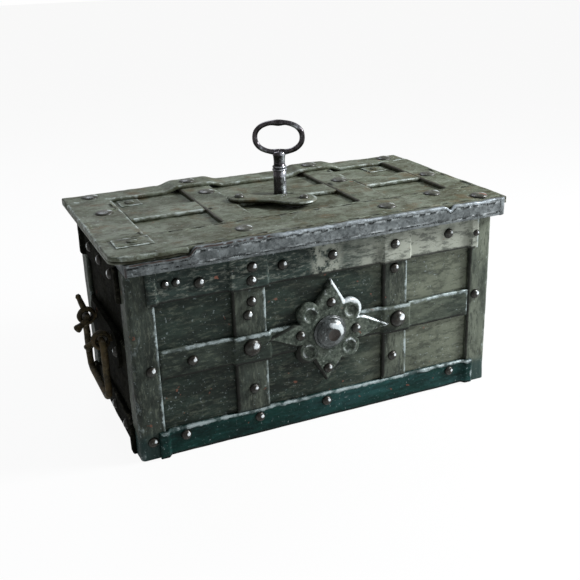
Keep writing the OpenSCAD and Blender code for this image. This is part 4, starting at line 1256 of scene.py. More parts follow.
@dataclass
class RivetHeads:
    """Forged rivet heads, each a low dome over every solid of a packed rivet node."""

    palette: Palette
    rings: int = 9
    turns: int = 22
    washer_width: float = 17.0
    washer_thick: float = 0.8
    washer_dome: tuple = (4.4, 1.45)
    # Where and how broad the painted highlight lies on each head.
    highlight_side: tuple = (0.36, 0.06, 0.3)
    lid_rubbed_side: tuple = (0.66, 0.0, 0.0)
    highlight_size: float = 0.36
    pole: float = 0.004

    def build(self) -> None:
        """Builds the rivets of the four walls and of the lid."""
        for side in (FRONT, BACK, LEFT, RIGHT):
            where = side.name if side in (FRONT, BACK) else f"{side.name}_end"
            boxes = enumerate(solids_of(f"{where}_rivets"), start=500)
            skin = joined([self.head(low, high, side.out, seed) for seed, (low, high) in boxes])
            name, node = f"{where}_rivet_heads", f"{where}_rivets"
            self.palette.piece(name, skin, "box", Finish.RIVET, "rivet_iron", node)
        self.lid_rivets()

    def lid_rivets(self) -> None:
        """Broad rivets of the lid, and the square washers, which the paint of the lid covers."""
        heads, washers = [], []
        for seed, (low, high) in enumerate(solids_of("lid_rivets")):
            if float(np.max(high - low)) > self.washer_width:
                washers += self.washer(low, high, 300 + seed)
            else:
                heads.append(self.head(low, high, Z, 540 + seed))
        node = "lid_rivets"
        self.palette.piece("lid_rivet_heads", joined(heads), "lid", Finish.LID_RIVET, "rivet_iron", node)
        self.palette.piece("lid_washers", joined(washers), "lid", Finish.LID, "painted_straps", node)

    def washer(self, low: Array, high: Array, seed: int) -> list[Skin]:
        """A thin square washer with softened edges, and the low rivet in its middle.

        Args:
            low: lowest corner.
            high: highest corner.
            seed: number that picks the dents.

        Returns:
            Its two skins.
        """
        plate = block(low, high, WASHER.worn(1.1, 1.1, 1.1, 1.1, seed), self.washer_thick)
        middle, top = (low + high) / 2, low[2] + self.washer_thick
        radius, height = self.washer_dome
        from_corner = np.array([middle[0] - radius, middle[1] - radius, top])
        to_corner = np.array([middle[0] + radius, middle[1] + radius, top + height])
        return [plate.skin(), self.head(from_corner, to_corner, Z, seed + 40)]

    def head(self, low: Array, high: Array, out: Array, seed: int) -> Skin:
        """One head: height h (1 - q^2.6)^0.62 at the share q of its radius, a little lopsided, with a painted
        highlight off its middle and darker towards its foot.

        Args:
            low: lowest corner of its solid.
            high: highest corner.
            out: direction of the head.
            seed: number that picks its dents.

        Returns:
            The skin.
        """
        side = np.roll(np.abs(out), 1)
        other = np.cross(out, side)
        height, radius = abs(float((high - low) @ out)), float((high - low) @ side) / 2
        centre = (low + high) / 2 - out * height / 2
        share = np.linspace(1, 0, self.rings) ** 0.8
        rise = height * (1 - share**2.6) ** 0.62
        profile = np.stack([np.append(radius * 0.98, radius * share), np.append(-0.2, rise)], 1)
        profile[-1, 0] = self.pole
        # Painted highlight: a pale spot off the middle of each head, up and to the right on the front and
        # towards +X on the lid; the rest of the head is darker towards its foot.
        highlight_at = np.array(self.lid_rubbed_side if out[2] > 0.5 else self.highlight_side)
        angle = around(self.turns)
        ring = np.append(1.05, share)[:, None]
        off_side = ring * np.cos(angle) - highlight_at @ side
        off_other = ring * np.sin(angle) - highlight_at @ other
        rubbed_and_highlit = 2.0 * np.exp(-(off_side**2 + off_other**2) / self.highlight_size**2)
        wear = np.append(-0.6, np.linspace(-0.5, -0.1, self.rings))[:, None] + rubbed_and_highlit
        return lathe(profile, centre, out, side, wear, dent=0.05 * radius, seed=seed)


@dataclass
class FalseLock:
    """False lock plate with its four cups, and the domed boss."""

    palette: Palette
    tilt_deg: float = 3.5
    cup_radius: float = 5.6
    cup_depth: float = 1.5
    cup_rim: float = 0.7
    lobe_at: tuple = (18.5, 16.0)
    lobe_radius: float = 10.5
    bar_half: float = 9.5
    post_half: float = 13.5
    strap: float = 3.5
    face: float = 2.0
    edge: float = 1.5
    # Direction of the lamp, and the quarter and strength of the painted highlight on the rim.
    light_deg: float = 42.0
    highlight_quarter: float = 0.695
    highlight_strength: float = 1.35
    pit_radius: float = 5.8
    pit_depth: float = 1.7
    foot_height: float = 1.4
    boss_turns: int = 60

    def build(self) -> None:
        """Builds the plate and the boss."""
        low, high = corners("front_boss")
        self.centre = np.array([(low[0] + high[0]) / 2, high[1], (low[2] + high[2]) / 2])
        self.boss_radius, self.boss_height = (high[0] - low[0]) / 2, high[1] - low[1]
        self.half = (corners("false_lock_plate")[1] - self.centre)[[0, 2]]
        plate, node = self.plate(), "false_lock_plate"
        self.palette.piece("front_lock_plate", plate, "box", Finish.LOCK, "painted_straps", node)
        self.palette.piece("domed_boss", self.boss(), "box", Finish.BOSS, "rivet_iron", "front_boss")

    def lobes(self) -> Iterable[tuple[float, float]]:
        """Middles of the four lobes.

        Returns:
            Their places from the plate's middle, in millimetres.
        """
        signs = itertools.product((-1, 1), repeat=2)
        return [(sx * self.lobe_at[0], sz * self.lobe_at[1]) for sx, sz in signs]

    def outline(self, angle: Array) -> Array:
        """Distance from the middle to the edge: the furthest of two pointed bars and four lobes.

        Args:
            angle: directions in radians, before the tilt.

        Returns:
            The distances in millimetres.
        """
        ray = np.stack([np.cos(angle), np.sin(angle)], 1)
        w, h = self.half
        far = np.zeros(len(angle))
        bars = ((w, w * 0.59, self.bar_half, ray), (h, h * 0.55, self.post_half, ray[:, ::-1]))
        for tip, shoulder, half, turned in bars:
            u, v = np.abs(turned).T
            side = half / np.maximum(v, 1e-9)
            slope = tip * half / (half * u + (tip - shoulder) * v + 1e-9)
            far = np.maximum(far, np.minimum(side, slope))
        for lobe in self.lobes():
            along = ray @ np.array(lobe)
            inside = along**2 - (self.lobe_at[0] ** 2 + self.lobe_at[1] ** 2 - self.lobe_radius**2)
            reached = (inside > 0) & (along > 0)
            far = np.maximum(far, np.where(reached, along + np.sqrt(np.maximum(inside, 0)), 0))
        return far

    def plate(self) -> Skin:
        """The plate: rings between the middle and the outline, raised to its face and sunk in the cups.

        Its height is the strap's level plus its own thickness, rounded off towards the outline, one
        strap more where it follows the middle band over the uprights, and less a bowl in each cup.

        Returns:
            The skin.
        """
        angle = around(432)
        far = self.outline(angle)
        rim_inset = np.array([3.3, 2.3, 1.3, 0.4, 0.0])
        inner = np.linspace(0.02, 1, 56)[:-1, None] * (far - 4.1)[None]
        distance = np.vstack([inner, far[None] - rim_inset[:, None], far[None], far[None]])
        tilt = math.radians(self.tilt_deg)
        u, v = distance * np.cos(angle), distance * np.sin(angle)
        x = self.centre[0] + u * math.cos(tilt) + v * math.sin(tilt)
        z = self.centre[2] - u * math.sin(tilt) + v * math.cos(tilt)
        top = self.strap + self.face
        height = np.full(distance.shape, top)
        height[-7:-2] -= (self.edge * np.array([0.0, 0.12, 0.4, 0.85, 1.2]))[:, None]
        height[-2], height[-1] = top - 2.2, 0.2
        bright = np.cos(angle - math.radians(self.light_deg))
        worn = np.zeros((len(distance), 1))
        worn[-7:, 0] = [0.5, 1, 1, 1, 1, 0.9, 0.5]
        # Painted light: the rim is paled as a painted highlight from its upper to its right point, towards
        # the lamp, and darkened as painted shade on the far side.
        rubbed_and_highlit = np.cos(angle - math.pi / 4) > self.highlight_quarter
        wear = worn * np.where(rubbed_and_highlit, self.highlight_strength, 0.1 + np.where(bright > 0, 0.25, 1.2) * bright)
        for lobe_u, lobe_v in self.lobes():
            du, dv = u - lobe_u, v - lobe_v
            away = np.hypot(du, dv)
            rim = np.exp(-(((away - self.cup_radius - 0.8) / 1.0) ** 2))
            bowl = self.cup_depth * (1 - np.clip(away / self.cup_radius, 0, 1) ** 2)
            height[:-2] += (self.cup_rim * rim - bowl)[:-2]
            # Painted light in each cup: its rim towards the lamp and the inside wall that faces the lamp are
            # paled as painted highlight, the other inside wall darkened as painted shade.
            lit = (du + dv) / (away + 1e-6) / math.sqrt(2)
            wear = wear + 0.5 * rim * (0.3 + lit)
            wear = np.where(away < self.cup_radius - 0.6, 0.05 - 0.85 * lit * away / self.cup_radius, wear)
        # Outside the inner edges of the uprights the plate lies one strap higher.
        left, right = reach("front_upright_left", X), reach("front_upright_right", X)
        over = 1 - smoothstep(x, left[1] + 0.3, left[1] + 3.8) + smoothstep(x, right[0] - 3.8, right[0] - 0.3)
        height = height + over * self.strap * (height > 1)
        height += 0.2 * lattice_noise(np.stack([x, z, 0 * x], -1), 8.0, 77) * (height > 1)
        wall = reach("front_plate", -Y)[1]
        places = np.stack([x, -(wall + height), z], -1)
        return grid_skin(places, np.clip(wear, -1, 1.3))

    def boss(self) -> Skin:
        """The boss: a flat foot, a dome on it and a battered pit in its crown, darker at the foot, with a
        painted highlight towards the lamp.

        Returns:
            The skin.
        """
        r, h, base = self.boss_radius, self.boss_height, self.foot_height
        share = np.linspace(1, 0.02, 26)
        from_axis = share * r
        dome = base + (h - base) * np.sqrt(1 - share**2.1)
        pit = self.pit_depth * np.clip(1 - (from_axis / self.pit_radius) ** 2, 0, 1)
        foot = [[r, -0.3], [r, 0.9], [r - 0.25, 1.3], [r - 0.9, base]]
        profile = np.vstack([foot, np.stack([share * (r - 1.1), dome - pit], 1)])
        crown = 0.5 * np.exp(-(((from_axis - 7.5) / 2.5) ** 2)) - 0.9 * (from_axis < 5.6)
        angle = around(self.boss_turns)
        # Painted highlight: a pale crescent on the side of the dome towards the lamp.
        towards_lamp = np.clip(np.cos(angle - math.radians(self.light_deg + 8)), 0, 1) ** 1.6
        crescent = np.append(np.zeros(4), np.exp(-(((from_axis - 8.6) / 3.0) ** 2)))
        wear = np.append([-0.8, -0.5, 0.0, -0.6], crown - 0.25)[:, None]
        wear = wear + 1.9 * crescent[:, None] * towards_lamp
        return lathe(profile, self.centre, -Y, X, wear, dent=0.28, seed=31)


# ------------------------------------------------------------------ the handles


@dataclass
class DropHandle:
    """Drop handle of one end: bail with knobbed ends, two eyes, a spike and the plate behind."""

    palette: Palette
    side: WallSide
    bar_radius: float = 2.9
    knob: tuple = (11.5, -9.0)
    bend: float = 10.0
    hole_gap: float = 1.4
    eye_wide: float = 6.0
    eye_clear: float = 0.6
    shank: float = 4.6
    spike: tuple = (4.0, 3.0, 14.0)

    def build(self) -> None:
        """Builds the bail, the eyes and the plate of this end."""
        name, self.sign = self.side.name, float(self.side.out @ X)
        low, high = corners(f"{name}_bail")
        eye_boxes = solids_of(f"{name}_handle_eyes")
        plain_low, plain_high = min(eye_boxes, key=lambda box: box[1][2] - box[0][2])
        self.eye_radius = (plain_high[2] - plain_low[2]) / 2
        outermost = max(abs(plain_low[0]), abs(plain_high[0])) - self.eye_radius
        self.pivot = np.array([self.sign * outermost, 0.0, plain_low[2] + self.eye_radius])
        self.eye_at = [float(lo[1]) + self.eye_wide / 2 for lo, _ in eye_boxes]
        self.span = (high[1] - low[1]) / 2 - self.bar_radius
        self.drop = self.pivot[2] - low[2] - self.bar_radius
        made = (
            ("drop_handle", self.bail(), f"{name}_handle", "bail"),
            ("eye_staples", self.eyes(), "box", "handle_eyes"),
        )
        for piece, skin, body, node in made:
            self.palette.piece(f"{name}_{piece}", skin, body, Finish.RUSTY, "rusty_iron", f"{name}_{node}")
        self.palette.dress(Finish.END, f"{name}_handle_plate")

    def bail(self) -> Skin:
        """The bar: down one arm, across and up the other, each arm turned in through its eye to a knob.

        Returns:
            The skin.
        """
        inner = max(self.eye_at) - self.eye_wide / 2 - self.bar_radius - self.eye_clear
        s, b = self.span, self.bend
        turn = np.radians(np.linspace(0, 90, 9))
        knob_out, knob_up = self.knob
        half = [[knob_out * k, inner, knob_up * k] for k in (1.0, 0.93, 0.8, 0.68, 0.5, 0.3, 0.12)]
        half += [[0, inner + 0.6, 0], [0, (inner + s) / 2, 0]]
        half += [[0, s - 2.2, -0.4], [0, s - 0.6, -1.2], [0, s, -3.0]]
        half += [[0, s, z] for z in np.linspace(-8, b - self.drop + 2, 10)]
        half += [[0, s - b + b * math.cos(t), b - self.drop - b * math.sin(t)] for t in turn]
        path = mirrored(np.array(half, float), (1, -1, 1))
        path = path[np.append(True, np.linalg.norm(np.diff(path, axis=0), axis=1) > 0.05)]
        from_end = np.minimum(np.arange(len(path)), np.arange(len(path))[::-1])
        swell = np.interp(from_end, [0, 1, 2, 3, 4, 6, 9], [0.75, 1.2, 1.22, 1.05, 0.8, 0.85, 1.0])
        wear = np.interp(from_end, [0, 4, 9, 14, 20], [0.3, 0.1, -0.3, 0.5, 0.3])
        path = path * np.array([self.sign, 1, 1]) + self.pivot
        return tube(path, self.bar_radius * swell, wear, sides=12, dent=0.2, seed=150)

    def eyes(self) -> Skin:
        """Two forged rings on shanks, and the turned-up end of the rear shank.

        Returns:
            The skin.
        """
        skins = []
        hole, outer = self.bar_radius + self.hole_gap, self.eye_radius
        half_ring = [[hole, 0.62], [hole + 0.9, 1.0], [outer - 1.1, 0.93], [outer, 0.5], [outer + 0.1, -0.06]]
        ring = mirrored(np.array(half_ring), (1, -1)) * np.array([1.0, -self.eye_wide / 2])
        at_outside = ring[:, 0] > hole + 1
        for seed, y in enumerate(self.eye_at):
            centre = self.pivot + np.array([0, y, 0])
            places = hoop(centre, ring, X, Z, Y)
            marks = hammered(places, 0.3, 160 + seed, 5.0)
            places = places + marks[..., None] * circle(32, X, Z)[:, None] * at_outside[None, :, None]
            skins.append(grid_skin(places, np.where(at_outside, 0.35, -0.6), ring=True))
            start = centre - self.sign * (outer - 1.4) * X
            shank = start - np.linspace(0, 1, 5)[:, None] * (self.sign * self.shank * X)
            radius = np.array([3.0, 3.0, 3.1, 3.1, 3.3])
            skins.append(tube(shank, radius, np.full(5, -0.2), sides=12, dent=0.1, seed=165 + seed))
            if y > 0:
                share = np.linspace(0, 1, 9)[:, None]
                foot = centre + np.array([self.sign, 1, outer - 3])
                spike = foot + share * self.spike * np.array([self.sign, 1, 1])
                radius = np.interp(share[:, 0], [0, 0.75, 0.9, 1], [2.7, 2.2, 2.5, 1.4])
                skins.append(tube(spike, radius, np.zeros(9), sides=12, dent=0.15, seed=170))
        return joined(skins)


# ------------------------------------------------------------------ the lid


@dataclass
class Keyhole:
    """The hole for the key and its bit, seen along the key."""

    axis: Array
    turn: float
    stem: float = 6.0
    slot_reach: float = 11.3
    slot_half: float = 1.9

    def radius(self, angle: Array) -> Array:
        """Distance from the key's axis to the edge of the hole: a circle, and a slot for the bit.

        Args:
            angle: directions in radians, from the slot.

        Returns:
            The distances in millimetres.
        """
        c, s = np.cos(angle), np.abs(np.sin(angle))
        slot = np.minimum(self.slot_reach / np.maximum(c, 1e-6), self.slot_half / np.maximum(s, 1e-6))
        return np.maximum(self.stem, np.where(c > 0, slot, 0))

    def cut(self, piece: bpy.types.Object) -> None:
        """Cuts the hole right through a piece of the lid.

        Args:
            piece: the piece, still at the origin.
        """
        sides, under_lid, over_lid = 96, 130.0, 200.0
        angle = around(sides)
        turned = angle + self.turn
        ring = self.radius(angle)[:, None] * np.stack([np.cos(turned), np.sin(turned)], 1) + self.axis
        layers = np.stack([np.column_stack([ring, np.full(sides, z)]) for z in (under_lid, over_lid)])
        cutter = mesh_object("keyhole_cutter", grid_skin(layers, 0.0))
        difference = piece.modifiers.new("keyhole", "BOOLEAN")
        difference.operation, difference.object, difference.solver = "DIFFERENCE", cutter, "EXACT"
        graph = bpy.context.evaluated_depsgraph_get()
        done = bpy.data.meshes.new_from_object(piece.evaluated_get(graph), depsgraph=graph)
        piece.modifiers.clear()
        piece.data = done
        bpy.data.objects.remove(cutter)


@dataclass
class Lid:
    """Sheet, lip, bars and straps of the lid."""

    palette: Palette
    hole: Keyhole
    corner_round: float = 13.0
    round_from: float = 161.0
    lip_step: float = -112.0
    bright_from: float = -46.0
    notch_at: float = 112.0
    notch_deep: float = 3.2
    notch_half: float = 2.6
    border_run: float = 14.0
    strap: float = 3.5
    sheet_back: float = 1.9
    border_back: float = 0.5
    corner_lift: float = 1.0

    def build(self) -> None:
        """Builds the pieces of the lid, from the sheet up."""
        self.low, self.high = corners("lid_plate")
        self.lip_back = self.low[1] + 3.4
        self.sheet_and_border()
        self.lip()
        self.bars()
        self.straps()
        self.hinge_straps()

    def front_edge(self, set_back: float) -> Callable[[Array], Array]:
        """Front edge of the sheet and border: a rounded left corner, then back behind the lip's upstand.

        Args:
            set_back: how far behind the lip's face it lies where it runs over the lip.

        Returns:
            A function from places along the lid to the edge's place across it.
        """

        def edge(s: Array) -> Array:
            """Edge at each place s."""
            r = self.corner_round
            gone = np.clip(self.low[0] + r - s, 0, r)
            rounded = r - np.sqrt(np.maximum(r * r - gone**2, 0))
            ragged = 0.5 * line_noise(s, 9.0, 205) + 0.3 * line_noise(s, 3.5, 206)
            return np.where(s < self.lip_step, self.low[1] + set_back + rounded + ragged, self.lip_back)

        return edge

    def bent_up(self, skin: Skin) -> Skin:
        """Skin with its free front left edge bent up in waves, off the lip under it.

        Args:
            skin: the sheet or the border.

        Returns:
            The skin.
        """
        x, y, _ = skin.points.T
        near_front = 1 - smoothstep(y, self.low[1] + 1, self.low[1] + 11)
        near_left = 1 - smoothstep(x, self.lip_step - 9, self.lip_step + 1)
        waves = 0.75 + 0.6 * line_noise(x, 15.0, 207)
        skin.points[:, 2] += self.corner_lift * near_front * near_left * waves
        return skin

    def sheet_and_border(self) -> None:
        """The lid sheet and the wide front border, one on the other, both with the worn corner."""
        step = (self.lip_step - 0.05, self.lip_step + 0.05)
        sheet = LID_SHEET.worn(-1.0, 0.2, 0.5, 0.5, 201)
        border = FRONT_BORDER.worn(0.75, 0.2, 0.5, 0.5, 204)
        for name, node, forging, set_back in (
            ("lid_sheet", "lid_plate", sheet, self.sheet_back),
            ("lid_front_strap", "lid_front_border", border, self.border_back),
        ):
            bar = block(*corners(node), forging)
            bar.low_edge, bar.crossings, bar.step_high = self.front_edge(set_back), [step], 0.0
            skin = bar.skin()
            x, y, _ = skin.points.T
            # Darker in a strip just behind the lip's upstand.
            behind_lip = (x > self.lip_step) & (y < self.lip_back + 4)
            skin.wear = np.where(behind_lip, -0.35, skin.wear)
            piece = self.palette.piece(name, self.bent_up(skin), "lid", Finish.LID, "painted_straps", node)
            if node == "lid_plate":
                self.hole.cut(piece)

    def lip(self) -> None:
        """Front bar of the lid: an inner bar, and a facing whose top rises over the sheet right of the step.

        The facing's top edge is uneven and has one notch. It is rusty and chipped on the left and worn
        bright on the right. Its right end is rounded in plan.
        """
        low, high = corners("front_lip")
        bar_top = corners("lid_bar_left")[1][2]
        r = high[0] - self.round_from

        def top(s: Array) -> Array:
            """Top edge of the facing."""
            uneven = 0.35 * line_noise(s, 14.0, 221) + 0.3 * line_noise(s, 4.0, 222)
            notch = self.notch_deep * np.exp(-(((s - self.notch_at) / self.notch_half) ** 2))
            rise = (high[2] - bar_top + 0.3) * smoothstep(s, self.lip_step - 1, self.lip_step + 6)
            return bar_top + rise + np.minimum(uneven, 0.25) - notch * (s > self.lip_step)

        def fallen(s: Array) -> Array:
            """How far the rounded right end falls back at each place."""
            beyond = np.clip(s - (high[0] - r), 0, r)
            return r - np.sqrt(np.maximum(r * r - beyond**2, 0))

        flat_end = np.array([high[0] - r, *high[1:]])
        face = LIP_FACING.worn(0.3, 1.05, -0.5, 0.1, 225)
        facing = Bar(X, Z, -Y, low[0], flat_end[0], low[2], top, -self.lip_back, 3.5, forging=face).skin()
        x = facing.points[:, 0]
        chips = np.where(lattice_noise(facing.points, 2.2, 223) > 0.28, 1.0, -0.7)
        upper = facing.points[:, 2] > bar_top - 1.5
        rusty = upper & (x < self.bright_from) & (facing.wear > 0)
        facing.wear = np.where(rusty, chips * facing.wear * (facing.wear > 0.8), facing.wear)
        facing.wear = np.where(upper & (x < self.lip_step), -0.8 * np.abs(facing.wear), facing.wear)
        plain = LIP_INNER.worn(0.3, 0.3, 0.0, 0.3, 226)
        inner = block(np.array([low[0], self.lip_back, low[2]]), flat_end, plain, bar_top - low[2])
        stub = block(low, high, LIP_END.worn(1.1, 0.8, 0.1, 0.9, 227))
        stub.start, stub.thick = flat_end[0], stub.thick + 0.2
        stub.low_edge = lambda s: low[1] + fallen(s)
        stub.high_edge = lambda s: np.minimum(low[1] + 2 * r, high[1]) - fallen(s)
        skin = joined([facing, inner.skin(), stub.skin()])
        self.palette.piece("lid_edge_bar", skin, "lid", Finish.LIP, "lid_bars", "front_lip")

    def bars(self) -> None:
        """Bars under the left, right and back edges."""
        bars = (("left", Y, X), ("right", Y, X), ("back", X, Y))
        for seed, (name, along, across) in enumerate(bars, start=240):
            forging = LID_BAR.worn(-0.3, 0.2, -0.3, -0.3, seed)
            node = f"lid_bar_{name}"
            skin = strap_from(node, along, across, Z, forging).skin()
            self.palette.piece(f"lid_{name}_bar", skin, "lid", Finish.LIP, "lid_bars", node)

    def straps(self) -> None:
        """End straps, back border and the middle strap in three lengths."""
        lid = ("lid", Finish.LID, "painted_straps")
        # The right border's inner edge is darkened as dirt and painted shade; its outer edge and both edges
        # of the left border are paled as rubbing and painted highlight.
        side_wear_and_light = (("left", 0.9, 0.9), ("right", -0.9, 0.7))
        for seed, (side, low_wear_and_light, high_wear_and_light) in enumerate(side_wear_and_light, start=250):
            forging = LID_STRAP.worn(low_wear_and_light, high_wear_and_light, 0.1, 0.1, seed)
            node = f"lid_{side}_strap"
            self.palette.piece(f"lid_{side}_border", strap_from(node, Y, X, Z, forging).skin(), *lid, node)
        hinges = [reach(f"lid_hinge_strap_{side}", X) for side in ("left", "right")]
        forging = LID_STRAP.worn(0.8, 0.6, 0.4, 0.7, 255)
        back = strap_from("lid_back_border", X, Y, Z, forging, hinges, self.strap)
        back.step_run = self.border_run
        self.palette.piece("lid_back_strap", back.skin(), *lid, "lid_back_border")
        skins = []
        for seed, (low, high) in enumerate(solids_of("lid_middle_strap"), start=260):
            skins.append(block(low, high, MIDDLE_STRAP.worn(1.15, -0.3, 0.1, 0.1, seed)).skin())
        self.hole.cut(self.palette.piece("lid_cross_strap", joined(skins), *lid, "lid_middle_strap"))

    def hinge_straps(self) -> None:
        """Hinge straps: a run over the lid, a leaf turned down behind it and a bored knuckle."""
        bore, wide, clear = 2.56, 6.0, 0.05
        for seed, (side, pin_box) in enumerate(zip(("left", "right"), solids_of("hinge_pins")), start=270):
            node = f"lid_hinge_strap_{side}"
            low, high = corners(node)
            pin = (pin_box[0] + pin_box[1]) / 2
            # Each hinge strap's left edge is darkened as dirt and painted shade, its right edge paled as
            # rubbing and painted highlight.
            forging = LID_STRAP.worn(-1.0, 0.7, 0.2, 0.2, seed)
            inside = high - self.strap
            run = Bar(Y, X, Z, low[1], high[1], low[0], high[0], inside[2], self.strap, forging=forging)
            under = inside[2] - clear
            leaf = Bar(Z, X, Y, pin[2], under, low[0], high[0], inside[1], self.strap, forging=forging)
            radius = inside[1] - pin[1] - clear
            half_ring = [[bore, wide - 0.2], [radius - 0.55, wide], [radius, wide - 0.7]]
            places = hoop(pin, mirrored(np.array(half_ring), (1, -1)), Y, Z, X)
            skin = joined([run.skin(), leaf.skin(), grid_skin(places, 0.2, ring=True)])
            name = f"lid_hinge_leaf_{side}"
            self.palette.piece(name, skin, "lid", Finish.LID, "painted_straps", node)


@dataclass
class KeyPlate:
    """Raised plate in front of the keyhole: a blunt point at one end, a round one at the other, a waist."""

    palette: Palette
    axis: Array
    turn_deg: float = -33.0
    along: float = -3.5
    out: float = 24.0
    length: float = 39.0
    end_radius: float = 15.0
    waist: float = 0.45
    gap: float = 0.9

    def outline(self, angle: Array) -> Array:
        """Distance from the plate's middle to its edge.

        The half width at the share u of the way from the point to the middle of the round end is
        r (1 - (1 - u)^8) (1 - w sin^2(pi u)), and the round end is a circle.

        Args:
            angle: directions in radians from the plate's length.

        Returns:
            The distances in millimetres.
        """
        round_x = self.length - self.end_radius
        u = np.linspace(0, 1, 200) ** 1.6
        half = self.end_radius * (1 - (1 - u) ** 8) * (1 - self.waist * np.sin(np.pi * u) ** 2)
        side = np.stack([-self.length + (self.length + round_x) * u, half], 1)
        t = np.radians(np.linspace(88, 0, 40))
        cap = np.stack([round_x + self.end_radius * np.cos(t), self.end_radius * np.sin(t)], 1)
        edge = np.vstack([side, cap])
        at = np.arctan2(edge[:, 1], edge[:, 0])
        order = np.argsort(at)
        folded = np.abs((angle + np.pi) % (2 * np.pi) - np.pi)
        return np.interp(folded, at[order], np.hypot(edge[:, 0], edge[:, 1])[order])

    def build(self) -> None:
        """Builds the plate in rings from its middle, with a rounded rim that stands off the lid a little."""
        low, high = corners("key_plate")
        thick = high[2] - low[2]
        angle = around(360)
        far = self.outline(angle)
        inset = np.array([3.0, 2.0, 1.2, 0.5, 0.12, 0.0, 0.35, 1.7, 1.7])
        wall = thick - self.gap
        height = thick - np.array([0.0, 0.03, 0.16, 0.5, 0.95, 1.4, wall, wall, thick])
        inner = np.linspace(0.02, 1, 12)[:, None] * (far - 3.4)[None]
        distance = np.vstack([inner, far[None] - inset[:, None]])
        height = np.append(np.full(len(inner), thick), height)[:, None] + 0 * distance
        turn = math.radians(self.turn_deg)
        along = np.array([math.cos(turn), math.sin(turn)])
        across = np.array([-along[1], along[0]])
        centre = self.axis + self.along * along - self.out * across
        flat = distance[..., None] * circle(len(angle), along, across) + centre
        swell = 0.2 * lattice_noise(np.concatenate([flat, 0 * distance[..., None]], -1), 11.0, 290)
        lifted = low[2] + height + swell * (height > thick * 0.5)
        places = np.concatenate([flat, lifted[..., None]], -1)
        # The rim is paled most towards +X, as rubbing and painted highlight towards the lamp, and darkened on
        # the far side as painted shade; the wall under the rim is darkened as painted shade under the plate.
        worn = np.append(np.zeros(len(inner)), [0.15, 0.5, 0.9, 1, 1, 0.9, -0.5, -1, -1])[:, None]
        wear = worn * np.where(worn > 0, 0.45 + 0.8 * np.cos(angle + turn), 1.0)
        skin = grid_skin(places, wear)
        self.palette.piece("keyhole_plate", skin, "lid", Finish.LID, "painted_straps", "key_plate")


